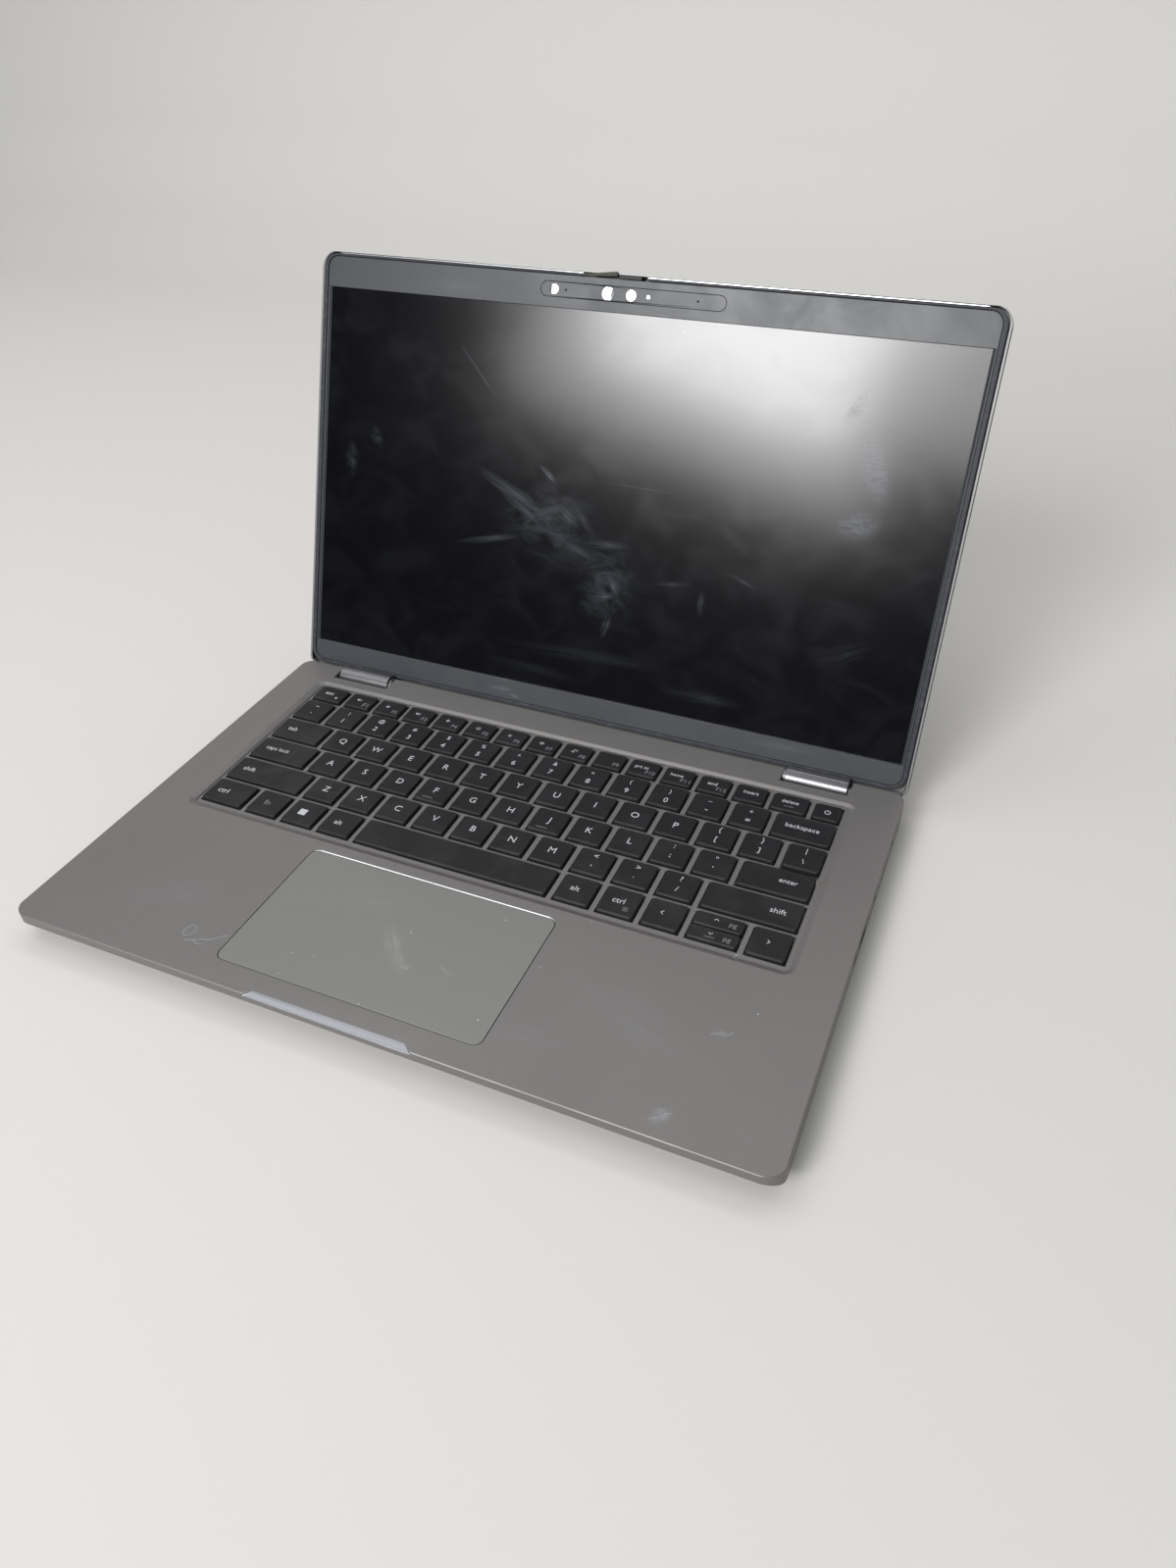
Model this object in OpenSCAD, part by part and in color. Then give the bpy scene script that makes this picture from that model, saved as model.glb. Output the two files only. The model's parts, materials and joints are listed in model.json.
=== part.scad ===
// Fourteen-inch business laptop, lid open, with a broken rubber lid trim.
// Base frame: x right, y back from the front edge, z up from the deck face.
// Lid frame: y runs from the hinge axis towards the lid's top edge, z = -hinge_h is the bezel face.

/* [Case] */
// Overall width of base and lid
case_w = 321.35; // [316:0.05:390]
// Depth of the deck, front edge to the rear lip's crown
case_d = 210; // [208:1:260]
// Thickness of the base shell without its feet
shell_h = 13; // [13:0.5:18]
// Height of the rubber feet under the shell
foot_h = 1.2; // [1:0.1:2]
// Corner radius of the base in plan
case_r = 8; // [5:0.5:12]
// Sheet thickness of the top plate
plate_t = 1.2; // [0.8:0.1:1.8]
// Side wall thickness of both shells
wall_t = 1.5; // [1.2:0.1:2.5]
// Depth of the split line between the two shells below the deck
split_z = 9.6; // [9:0.1:10]

/* [Lid] */
// How far the lid stands open, in degrees from closed
lid_open = 110.12; // [0:0.5:180]
// Thickness of the lid
lid_t = 5.9; // [5.5:0.1:8]
// Gap between the closed bezel face and the deck
lid_gap = 0.8; // [0.7:0.05:1.2]
// Depth of the hinge axis below the deck face
axis_drop = 3.1; // [3:0.05:3.4]
// How far the rubber trim stands proud of the bezel face
trim_proud = 0.6; // [0.3:0.05:0.65]
// Screen window, width
window_w = 310.35; // [290:0.5:312]
// Screen window, height
window_h = 175; // [160:0.5:178]
// Height of the chin's window edge above the hinge axis
window_y = 15.84; // [15:0.1:18]

/* [Keyboard] */
// Key pitch across
key_px = 19.05; // [18.5:0.05:19.5]
// Row pitch
key_py = 17.75; // [17:0.05:18.5]
// Gap between neighbouring keycaps
key_gap = 3.05; // [2.6:0.05:3.4]
// Depth of a keycap, front to back
key_d = 15.2; // [14:0.1:15.6]
// Depth of the function row's keycaps
fkey_d = 11.3; // [10:0.1:12]
// Key travel
key_travel = 1.3; // [0.8:0.1:1.5]
// How far the key lattice lies below the deck
well_drop = 1.7; // [1.5:0.1:1.8]

/* [Touchpad] */
// Touchpad width
pad_w = 115; // [90:1:125]
// Touchpad depth
pad_d = 67; // [50:1:68]
// Touchpad centre, left of the middle
pad_x = -9.46; // [-20:0.1:10]
// Front edge of the touchpad from the deck's front edge
pad_y = 11.4; // [10:0.1:12]

/* [Hinges] */
// Outer radius of the hinge cap's barrel
cap_r = 5.3; // [5:0.1:5.6]
// Inner end of a hinge cap from the middle
cap_x = 106.5; // [100:0.5:110]
// Length of a hinge cap
cap_len = 28.8; // [24:0.1:30]
// Radius of the friction shaft
pin_r = 1.95; // [1.6:0.05:2.2]

/* [Hidden] */
$fn = 48;
eps = 0.01;
fit = 0.05;            // running fit, radial
slip = 0.3;            // clearance between moving neighbours
half_w = case_w / 2;
deck_z = shell_h + foot_h;
shell_b = -shell_h;

// ---- hinge axis and lid, in the base frame
axis_y = case_d - 3.45;
axis_z = -axis_drop;
hinge_h = lid_gap + axis_drop;
lid_tilt = 180 - lid_open;
lid_b = -1;            // lower edge of the lid
lid_top = axis_y;      // the closed lid ends flush with the deck's front edge
lid_back = -hinge_h - lid_t;
skin_t = 1.2;
rim_t = 1.2;

// ---- origin: middle of the whole box, on the floor
lid_edge = 1;          // chamfer round the lid's back
box_y1 = axis_y + (lid_top - lid_edge) * cos(lid_tilt) + (hinge_h + lid_t) * sin(lid_tilt);
y_mid = box_y1 / 2;

// ---- base outline
front_lip_z = 4.2;     // height of the upright front wall
tuck = 13;             // how far the underside tucks in at the front
rear_in = case_d - 6.5;
side_tuck = 2.6;
edge = 0.4;

// ---- keyboard
kb_w = 13 * key_px + 26.15;
kb_x0 = -kb_w / 2;
key_w = key_px - key_gap;
row_y0 = case_d - 119.7; // front edge of the bottom row
key_top = -0.1;
key_bot = -2.6;
key_skirt = 0.45;
key_slot = 0.45;       // clearance round a keycap in the lattice
caps_w = 30.5;
shift_w = 40;
ctrl_w = 21.4;
updown_w = 20.9;
space_w = 92.05;
fkey_w = 14.45;
fkey_gap = 2.75;
esc_w = 16.3;
frow_y = row_y0 + 5 * key_py - 0.35;
well_m = 3.6;          // lattice margin outside the keys
well_x = kb_w / 2 + well_m;
well_y0 = row_y0 - 4.6;
well_y1 = frow_y + fkey_d + 3.6;
well_r = 4;
lattice_t = 0.8;
sheet_z = key_bot - key_travel - 0.2;
sheet_t = 0.3;
backing_t = 0.8;

// ---- touchpad
pad_r = 3.5;
pad_t = 1;
pad_slot = 0.3;
pad_tray = 1.8;
pad_tail = 1.6;

// ---- hinge notch
notch_x0 = cap_x - 1.5;
notch_x1 = cap_x + cap_len + 1.5;
notch_y = case_d - 11.2;
notch_wall = 1;
notch_low = 7.6;
cap_t = 1;
knuckle_r = 3.9;
ear_t = 1;
bracket_d = 11.5;

// ---- lid frame sizes
trim_w = 2.2;
trim_gap = 0.3;
trim_x = half_w - rim_t - trim_gap;
trim_y0 = 3.55;
trim_y1 = lid_top - 0.4;
trim_wy = 1.6;
trim_r = 7.5;
trim_deep = 1.5;
bezel_t = 1;
bezel_x = trim_x - trim_w - 0.1;
bezel_y0 = trim_y0 + 2.15;
bezel_y1 = trim_y1 - trim_wy - 0.1;
bezel_r = 5.2;
lcd_t = 2.3;
window_y1 = window_y + window_h;

// ---- break in the lid trim
break_x0 = -6.8;
break_x1 = 7.4;
lift_from = -22.8;
lift_deg = 4;

// ---- camera strip
cam_w = 87.3;
cam_h = 6.2;
cam_x = 0.25;
cam_y = window_y1 + 7.5;
cam_t = 0.8;
lens_t = 0.7;
mic_r = 0.4;
thumb_x0 = -6.3;
thumb_x1 = 4.3;
film_z = 1.2;
film_t = 0.35;

// ---- sockets, measured along the side from the front edge
sock_z = -5.7;
board_z = -8.4;
board_t = 1;
usb_a_y = [138, 157];
video_y = 174.5;
lan_y = 120.5;
jack_y = 107;
card_y = 93;
usb_c_y = [152, 166];
jack_r = 1.8;
lan_w = 12.4;
lan_low = 9.3;
lan_high = 2.3;
lan_d = 14;

// ---- inside
in_z0 = shell_b + plate_t;
board_x = half_w - 4.675;
board_y1 = rear_in - 17.5;
fin_y0 = rear_in - 12.3;
fan_x = -70;
fan_y = fin_y0 - 25.2;
fan_r = 24;
fan_t = 5;

// ---------------------------------------------------------------- placing

module in_base() {
    translate([0, -y_mid, deck_z]) children();
}

module in_lid() {
    translate([0, axis_y - y_mid, deck_z + axis_z]) rotate([lid_tilt, 0, 0]) children();
}

module both_sides() {
    children();
    mirror([1, 0, 0]) children();
}

// ---------------------------------------------------------------- helpers

module round_rect(x0, x1, y0, y1, r) {
    translate([x0 + r, y0]) square([x1 - x0 - 2 * r, y1 - y0]);
    translate([x0, y0 + r]) square([x1 - x0, y1 - y0 - 2 * r]);
    for (x = [x0 + r, x1 - r], y = [y0 + r, y1 - r]) {
        translate([x, y]) circle(r);
    }
}

module slab(x0, x1, y0, y1, z0, z1, r) {
    translate([0, 0, z0]) linear_extrude(z1 - z0) round_rect(x0, x1, y0, y1, r);
}

module box(x0, x1, y0, y1, z0, z1) {
    translate([x0, y0, z0]) cube([x1 - x0, y1 - y0, z1 - z0]);
}

// a (y, z) outline carried along x
module along_x(x0, x1, pts) {
    translate([x0, 0, 0]) rotate([90, 0, 90]) linear_extrude(x1 - x0) polygon(pts);
}

// an (x, z) outline carried along y
module along_y(y0, y1, pts) {
    translate([0, y1, 0]) rotate([90, 0, 0]) linear_extrude(y1 - y0) polygon(pts);
}

module rod_x(x0, x1, y, z, r) {
    translate([x0, y, z]) rotate([0, 90, 0]) cylinder(h = x1 - x0, r = r);
}

module rod_z(x, y, z0, z1, r) {
    translate([x, y, z0]) cylinder(h = z1 - z0, r = r);
}

// stadium seen along x: width along y, height along z
module oval_x(x0, x1, y, z, w, h) {
    for (s = [-1, 1]) {
        rod_x(x0, x1, y + s * (w - h) / 2, z, h / 2);
    }
    box(x0, x1, y - (w - h) / 2, y + (w - h) / 2, z - h / 2, z + h / 2);
}

// stadium seen along z
module oval_z(x, y, w, h, z0, z1) {
    for (s = [-1, 1]) {
        rod_z(x + s * (w - h) / 2, y, z0, z1, h / 2);
    }
    box(x - (w - h) / 2, x + (w - h) / 2, y - h / 2, y + h / 2, z0, z1);
}

// ---------------------------------------------------------------- base shells

// outside of the whole base: upright front wall, tucked underside, undercut rear lip
module base_outside() {
    rear = [
        [rear_in, shell_b], [rear_in + 1.5, -6.6], [case_d - 2.5, -6.3], [case_d - 0.8, -5.3],
        [case_d, -4], [case_d, -2.2], [case_d - 0.4, -0.9], [case_d - 1.3, 0]
    ];
    front = [[edge, 0], [0, -edge], [0, -front_lip_z], [tuck, shell_b]];
    intersection() {
        along_x(-half_w, half_w, concat(front, rear));
        along_y(-1, case_d + 1, [
            [-half_w + edge, 0], [-half_w, -edge], [-half_w, side_tuck - shell_h],
            [-half_w + side_tuck, shell_b], [half_w - side_tuck, shell_b],
            [half_w, side_tuck - shell_h], [half_w, -edge], [half_w - edge, 0]
        ]);
        slab(-half_w, half_w, 0, case_d, shell_b - 1, 1, case_r);
    }
}

// hollow of the base between top plate and floor
module base_inside() {
    slope = (shell_h - front_lip_z) / tuck;
    skin = wall_t * sqrt(1 + slope * slope);
    low = in_z0;
    front = [
        [wall_t, -plate_t], [wall_t, -front_lip_z + skin - slope * wall_t],
        [(-front_lip_z + skin - low) / slope, low]
    ];
    rear = [
        [rear_in - wall_t, low], [rear_in - 0.2, -5.2], [case_d - 3, -4.9],
        [case_d - wall_t, -3.8], [case_d - wall_t, -2.2], [case_d - 2.2, -plate_t]
    ];
    in_x = half_w - wall_t;
    intersection() {
        along_x(-in_x, in_x, concat(front, rear));
        along_y(0, case_d, [
            [-in_x, -plate_t], [-in_x, side_tuck - shell_h], [-in_x + side_tuck - plate_t, low],
            [in_x - side_tuck + plate_t, low], [in_x, side_tuck - shell_h], [in_x, -plate_t]
        ]);
        slab(-in_x, in_x, wall_t, case_d, low - 1, 0, case_r - wall_t);
    }
}

// slot through the wall for each socket
module socket_holes() {
    x0 = half_w - wall_t - 1;
    x1 = half_w + 1;
    for (y = usb_a_y) {
        box(x0, x1, y - 6.9, y + 6.9, sock_z - 2.9, sock_z + 2.9);
    }
    box(x0, x1, video_y - 7.6, video_y + 7.6, sock_z - 2.8, sock_z + 2.8);
    box(x0, x1, lan_y - lan_w / 2, lan_y + lan_w / 2, -split_z - 1, -lan_high);
    rod_x(x0, x1, jack_y, sock_z, 2.9);
    box(x0, x1, card_y - 6.2, card_y + 6.2, -8.2, -6.4);
    oval_x(x0, x1, case_d - 18, sock_z - 0.8, 7, 3.2);
    for (y = usb_c_y) {
        oval_x(-x1, -x0, y, sock_z - 0.8, 9.4, 3.6);
    }
}

module notch_cut() {
    both_sides() box(notch_x0, notch_x1, notch_y, case_d + 1, shell_b + 3, 1);
}

// walls that line the hinge notches
module notch_walls() {
    both_sides() difference() {
        box(notch_x0 - notch_wall, notch_x1 + notch_wall, notch_y - notch_wall, case_d,
            -notch_low, -plate_t / 2);
        box(notch_x0, notch_x1, notch_y, case_d + 1, -notch_low - 1, 1);
    }
}

// opening for the keyboard, its edge sloping down to the lattice
module well_cut() {
    hull() {
        slab(-well_x, well_x, well_y0, well_y1, 0.02, 0.03, well_r);
        slab(-well_x + 1.6, well_x - 1.6, well_y0 + 1.6, well_y1 - 1.6, -plate_t - 0.2,
             -plate_t - 0.1, well_r - 1.6);
    }
}

// thumb chamfer in the middle of the front edge
lip_x = -9.5;
lip_w = 72;
lip_in = 2.6;
lip_drop = 1.6;
module lip_cut() {
    hull() {
        translate([lip_x, lip_in, 0.02]) cube([lip_w - 7, 0.01, 0.01], center = true);
        translate([lip_x, -0.5, 0.02]) cube([lip_w + 2, 0.01, 0.01], center = true);
        translate([lip_x, -0.5, -lip_drop]) cube([lip_w + 2, 0.01, 0.01], center = true);
    }
}

module palmrest_cover() {
    color([0.42, 0.42, 0.41]) in_base() difference() {
        intersection() {
            union() {
                difference() {
                    base_outside();
                    base_inside();
                }
                notch_walls();
            }
            base_outside();
            box(-half_w, half_w, -1, case_d + 1, -split_z, 1);
        }
        notch_cut();
        well_cut();
        lip_cut();
        socket_holes();
        slab(pad_x - pad_w / 2 - pad_slot, pad_x + pad_w / 2 + pad_slot, pad_y - pad_slot,
             pad_y + pad_d + pad_slot, -plate_t - 1, 1, pad_r + pad_slot);
    }
}

// intake slots under the fan, speaker slots near the front corners
module floor_slots() {
    for (i = [-8 : 8]) {
        box(fan_x - 20, fan_x + 20, fan_y - 12 + i * 2.4, fan_y - 11 + i * 2.4,
            shell_b - 1, in_z0 + 1);
    }
    both_sides() for (i = [0 : 7]) {
        box(half_w - 28.7, half_w - 12.7, 29 + i * 2.2, 30 + i * 2.2, shell_b - 1, in_z0 + 1);
    }
}

screw_x = half_w - 12;
screw_at = [
    [-screw_x, 22], [0, 20], [screw_x, 22], [-screw_x, 104], [screw_x, 104],
    [-screw_x, rear_in - 8.5], [20, rear_in - 7.5], [screw_x, rear_in - 8.5]
];
screw_r = 1.5;
screw_head_r = 2.6;

module bottom_cover() {
    color([0.36, 0.36, 0.36]) in_base() difference() {
        intersection() {
            union() {
                difference() {
                    base_outside();
                    base_inside();
                }
                for (p = screw_at) {
                    rod_z(p[0], p[1], shell_b + 0.2, shell_b + 3, screw_head_r + 1.2);
                }
            }
            base_outside();
            box(-half_w, half_w, -1, case_d + 1, shell_b - 1, -split_z);
        }
        floor_slots();
        for (p = screw_at) {
            rod_z(p[0], p[1], shell_b - 1, shell_b + 5, screw_r);
            rod_z(p[0], p[1], shell_b - 1, shell_b + 1, screw_head_r);
        }
    }
}

module bottom_screws() {
    color([0.2, 0.2, 0.2]) in_base() for (p = screw_at) {
        difference() {
            union() {
                rod_z(p[0], p[1], shell_b + 0.2, shell_b + 1, screw_head_r - 0.1);
                rod_z(p[0], p[1], shell_b + 0.5, shell_b + 4.2, screw_r - 0.1);
            }
            translate([p[0], p[1], shell_b]) for (a = [0, 90]) {
                rotate([0, 0, a]) cube([2.2, 0.5, 1.2], center = true);
            }
        }
    }
}

module front_feet() {
    color([0.12, 0.12, 0.12]) in_base() both_sides()
        slab(half_w - 68.7, half_w - 26.7, 16, 24, shell_b - foot_h, shell_b, 3);
}

module rear_foot() {
    color([0.12, 0.12, 0.12]) in_base()
        slab(-124, 124, rear_in - 17.5, rear_in - 9.5, shell_b - foot_h, shell_b, 3);
}

// ---------------------------------------------------------------- keys

function row_y(i) = row_y0 + i * key_py;

// start of key i in a row of the given widths
function key_x(widths, gap, i) = i == 0 ? kb_x0 : key_x(widths, gap, i - 1) + widths[i - 1] + gap;

// one keycap: skirt and a smaller top
module keycap(x0, y0, w, d) {
    slab(x0, x0 + w, y0, y0 + d, key_bot, key_top - 0.9, 1.2);
    slab(x0 + key_skirt, x0 + w - key_skirt, y0 + key_skirt, y0 + d - key_skirt,
         key_top - 1, key_top, 1.4);
}

// keys first to last of a row
module key_run(widths, gap, y0, d, first, last) {
    for (i = [first : last]) {
        keycap(key_x(widths, gap, i), y0, widths[i], d);
    }
}

number_row = concat([for (i = [0 : 12]) key_w], [kb_w - 13 * key_px]);
upper_row = concat([kb_w - 13 * key_px], [for (i = [0 : 12]) key_w]);
home_row = concat([caps_w], [for (i = [0 : 10]) key_w], [kb_w - caps_w - 11 * key_px - key_gap]);
lower_row = concat([shift_w], [for (i = [0 : 9]) key_w], [kb_w - shift_w - 10 * key_px - key_gap]);
bottom_row = [ctrl_w, key_w, key_w, key_w, space_w, key_w, key_w, key_w, updown_w, key_w];
function_row = concat([esc_w], [for (i = [0 : 12]) fkey_w], [esc_w, 12.1]);

module key_colour() {
    color([0.13, 0.13, 0.14]) in_base() children();
}

module function_keys() {
    key_colour() key_run(function_row, fkey_gap, frow_y, fkey_d, 0, 14);
}

module power_button() {
    key_colour() key_run(function_row, fkey_gap, frow_y, fkey_d - 0.6, 15, 15);
}

module number_keys() {
    key_colour() key_run(number_row, key_gap, row_y(4), key_d, 0, 12);
}

module backspace_key() {
    key_colour() key_run(number_row, key_gap, row_y(4), key_d, 13, 13);
}

module upper_letter_keys() {
    key_colour() key_run(upper_row, key_gap, row_y(3), key_d, 0, 13);
}

module home_letter_keys() {
    key_colour() key_run(home_row, key_gap, row_y(2), key_d, 0, 11);
}

module enter_key() {
    key_colour() key_run(home_row, key_gap, row_y(2), key_d, 12, 12);
}

module lower_letter_keys() {
    key_colour() key_run(lower_row, key_gap, row_y(1), key_d, 1, 10);
}

module left_shift_key() {
    key_colour() key_run(lower_row, key_gap, row_y(1), key_d, 0, 0);
}

module right_shift_key() {
    key_colour() key_run(lower_row, key_gap, row_y(1), key_d, 11, 11);
}

module modifier_keys() {
    key_colour() {
        key_run(bottom_row, key_gap, row_y(0), key_d, 0, 3);
        key_run(bottom_row, key_gap, row_y(0), key_d, 5, 6);
    }
}

module space_bar() {
    key_colour() key_run(bottom_row, key_gap, row_y(0), key_d, 4, 4);
}

module arrow_keys() {
    half = (key_d - 0.5) / 2;
    key_colour() {
        key_run(bottom_row, key_gap, row_y(0), key_d, 7, 7);
        key_run(bottom_row, key_gap, row_y(0), half, 8, 8);
        key_run(bottom_row, key_gap, row_y(0) + key_d - half, half, 8, 8);
        key_run(bottom_row, key_gap, row_y(0), key_d, 9, 9);
    }
}

// ---------------------------------------------------------------- keyboard carrier

// one opening per key
module slot_run(widths, gap, y0, d) {
    for (i = [0 : len(widths) - 1]) {
        x0 = key_x(widths, gap, i);
        box(x0 - key_slot, x0 + widths[i] + key_slot, y0 - key_slot, y0 + d + key_slot,
            -well_drop - 5, 1);
    }
}

module keyboard_lattice() {
    rise = plate_t + 0.1;
    color([0.42, 0.42, 0.41]) in_base() difference() {
        slab(-well_x - 3, well_x + 3, well_y0 - 3, well_y1 + 2, -well_drop - lattice_t,
             -rise, well_r + 2);
        slab(-well_x + 1.7, well_x - 1.7, well_y0 + 1.7, well_y1 - 1.7, -well_drop, 1,
             well_r - 1.7);
        slot_run(bottom_row, key_gap, row_y(0), key_d);
        slot_run(lower_row, key_gap, row_y(1), key_d);
        slot_run(home_row, key_gap, row_y(2), key_d);
        slot_run(upper_row, key_gap, row_y(3), key_d);
        slot_run(number_row, key_gap, row_y(4), key_d);
        slot_run(function_row, fkey_gap, frow_y, fkey_d);
        x0 = key_x(upper_row, key_gap, 13);
        box(x0 - key_slot, x0 + key_w + key_slot, row_y(2) + 1, row_y(3) + 1, -well_drop - 5, 1);
    }
}

module keyboard_membrane() {
    color([0.75, 0.75, 0.72]) in_base() {
        slab(kb_x0 - 2, -kb_x0 + 2, row_y0 - 2, frow_y + fkey_d + 2, sheet_z - sheet_t, sheet_z, 2);
    }
}

module keyboard_plate() {
    low = sheet_z - sheet_t;
    color([0.5, 0.5, 0.5]) in_base() difference() {
        slab(-well_x - 2, well_x + 2, well_y0 - 2, well_y1 + 1, low - backing_t,
             -well_drop - lattice_t, well_r);
        slab(-well_x + 1, well_x - 1, well_y0 + 1, well_y1 - 1, low, 1, well_r - 1);
    }
}

// ---------------------------------------------------------------- touchpad

module touchpad_plate() {
    x0 = pad_x - pad_w / 2;
    color([0.5, 0.5, 0.48]) in_base() {
        slab(x0, x0 + pad_w, pad_y, pad_y + pad_d, -pad_t, 0, pad_r);
        box(x0 + 12, x0 + pad_w - 12, pad_y + pad_d - 6, pad_y + pad_d - 1, -pad_t - 0.9, -pad_t);
        box(x0 + 12, x0 + pad_w - 12, pad_y + pad_d - 2, pad_y + pad_d + pad_tail,
            -pad_t - 0.9, -pad_t - 0.4);
    }
}

module touchpad_bracket() {
    x0 = pad_x - pad_w / 2;
    color([0.6, 0.6, 0.6]) in_base() difference() {
        slab(x0 - 6, x0 + pad_w + 6, pad_y - 4, pad_y + pad_d + 3.6,
             -plate_t - pad_tray, -plate_t, 4);
        slab(x0 - 1.4, x0 + pad_w + 1.4, pad_y - 1.4, pad_y + pad_d + pad_tail + 0.5,
             -plate_t - pad_tray + 0.6, 1, 3);
        for (i = [-1, 1]) {
            slab(pad_x + i * 30 - 18, pad_x + i * 30 + 18, pad_y + 12, pad_y + 40,
                 -plate_t - pad_tray - 1, 1, 3);
        }
    }
}

// ---------------------------------------------------------------- hinges

// base bracket: knuckle inside the cap, ear in the notch, foot under the notch wall
module hinge_bracket() {
    color([0.35, 0.35, 0.36]) in_base() difference() {
        union() {
            rod_x(cap_x - slip, cap_x + cap_len - 3, axis_y, axis_z, knuckle_r);
            rod_x(cap_x - slip - ear_t, cap_x - slip, axis_y, axis_z, knuckle_r);
            along_x(cap_x - slip - ear_t, cap_x - slip, [
                [axis_y - 3.6, axis_z - 1.4], [axis_y, axis_z], [axis_y + 0.9, axis_z - 3.75],
                [axis_y - 3, -notch_low - 1], [notch_y - 3, -notch_low - 1],
                [notch_y - 3, -notch_low], [notch_y + 1.6, -notch_low]
            ]);
            box(cap_x - 12, cap_x + cap_len, notch_y - bracket_d, notch_y, -notch_low - 1,
                -notch_low);
        }
        rod_x(cap_x - 3, cap_x + cap_len, axis_y, axis_z, pin_r + fit);
        for (x = [cap_x - 7, cap_x + 10, cap_x + cap_len - 4.8]) {
            rod_z(x, notch_y - 7, -notch_low - 2, -notch_low + 1, 1.3);
        }
    }
}

module hinge_bracket_left() {
    mirror([1, 0, 0]) hinge_bracket();
}

module hinge_bracket_right() {
    hinge_bracket();
}

module hinge_pins() {
    color([0.7, 0.7, 0.7]) in_base() both_sides()
        rod_x(cap_x - slip, cap_x + cap_len - 1.6, axis_y, axis_z, pin_r);
}

// lid arm: web beside the shaft's end, strip screwed to the back cover
module hinge_arm() {
    web_x = cap_x + cap_len - 2.6;
    low = lid_back + skin_t;
    color([0.4, 0.4, 0.42]) in_lid() difference() {
        union() {
            rod_x(web_x, web_x + 1, 0, 0, 3.6);
            along_x(web_x, web_x + 1, [
                [-1.6, -2.6], [2.2, -2.4], [1.4, -3.8], [1.4, -5.6], [5, -5.7], [9, low + 1],
                [9, low], [2.6, low], [0.45, -5.6], [0.45, -4.4], [-1, -3.6]
            ]);
            box(web_x - 20, web_x + 1, 4, 62, low, low + 1);
        }
        rod_x(web_x - 1, web_x + 3, 0, 0, pin_r + eps);
        for (y = [22, 50]) {
            rod_z(web_x - 10, y, low - 1, low + 2, 1.2);
        }
    }
}

module hinge_arm_left() {
    mirror([1, 0, 0]) hinge_arm();
}

module hinge_arm_right() {
    hinge_arm();
}

// silver cap: barrel shell round the knuckle with a flat tongue up to the chin
module hinge_cap() {
    x1 = cap_x + cap_len;
    color([0.75, 0.75, 0.76]) in_lid() {
        difference() {
            rod_x(cap_x, x1, 0, 0, cap_r);
            rod_x(cap_x - 1, x1 - cap_t, 0, 0, cap_r - cap_t);
            box(cap_x - 1, x1 + 1, -10, 10, -10, -hinge_h - 0.1);
        }
        box(cap_x, x1, 1.9, trim_y0 - fit, -hinge_h - 1.1, -hinge_h - 0.1);
        box(cap_x, x1, 1.9, 2.9, -hinge_h - 1.1, -hinge_h + 0.3);
    }
}

module hinge_cap_left() {
    mirror([1, 0, 0]) hinge_cap();
}

module hinge_cap_right() {
    hinge_cap();
}

// ---------------------------------------------------------------- inside the base

module system_board() {
    z1 = board_z;
    color([0.1, 0.3, 0.18]) in_base() difference() {
        union() {
            translate([0, 0, z1 - board_t]) linear_extrude(board_t) polygon([
                [-board_x, 96], [board_x, 96], [board_x, lan_y - 8], [board_x - 12, lan_y - 8],
                [board_x - 12, lan_y + 8], [board_x, lan_y + 8], [board_x, board_y1],
                [-40, board_y1], [-40, 136], [-100, 136], [-100, board_y1], [-board_x, board_y1]
            ]);
            box(-22, 4, 150, 168, z1 - eps, z1 + 1.1);
            for (i = [0 : 5]) {
                box(-90 + i * 9, -84 + i * 9, 118, 124, z1 - eps, z1 + 1.2);
            }
        }
        for (p = screw_at) {
            rod_z(p[0], p[1], z1 - board_t - 1, z1 + 2, screw_r + 0.3);
        }
    }
}

module heatsink() {
    fin_z0 = in_z0 + 0.9;
    fin_z1 = fin_z0 + 5.2;
    color([0.72, 0.45, 0.3]) in_base() {
        box(-30, 12, 144, 174, board_z + 1.1, board_z + 1.9);
        rod_x(-45, 8, 163, board_z + 2.2, 0.8);
        box(-45, -40, 160, fin_y0 + 5.8, fin_z1 - 1.3, board_z + 3);
        difference() {
            box(fan_x - 22, -39, fin_y0, fin_y0 + 6.8, fin_z0, fin_z1);
            for (i = [0 : 25]) {
                box(fan_x - 21 + i * 2, fan_x - 19.8 + i * 2, fin_y0 - 1, fin_y0 + 8,
                    fin_z0 + 0.6, fin_z1 - 0.6);
            }
        }
    }
}

module fan_housing() {
    z0 = in_z0;
    z1 = z0 + fan_t + 1.2;
    color([0.15, 0.15, 0.15]) in_base() difference() {
        union() {
            rod_z(fan_x, fan_y, z0, z1, fan_r);
            box(fan_x - fan_r, fan_x + fan_r, fan_y, fin_y0, z0, z1);
        }
        difference() {
            union() {
                rod_z(fan_x, fan_y, z0 + 0.6, z1 - 0.6, fan_r - 1);
                box(fan_x - fan_r + 1, fan_x + fan_r - 1, fan_y, fin_y0 + 1, z0 + 0.6, z1 - 0.6);
            }
            rod_z(fan_x, fan_y, z0, z1 - 1.2, 1);
        }
        difference() {
            rod_z(fan_x, fan_y, z0 - 1, z0 + 1, 15);
            for (a = [0, 60, 120]) {
                translate([fan_x, fan_y, z0]) rotate([0, 0, a]) cube([40, 1.6, 4], center = true);
            }
            rod_z(fan_x, fan_y, z0 - 1, z0 + 1, 4);
        }
        rod_z(fan_x, fan_y, z1 - 1, z1 + 1, 12);
    }
}

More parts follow.
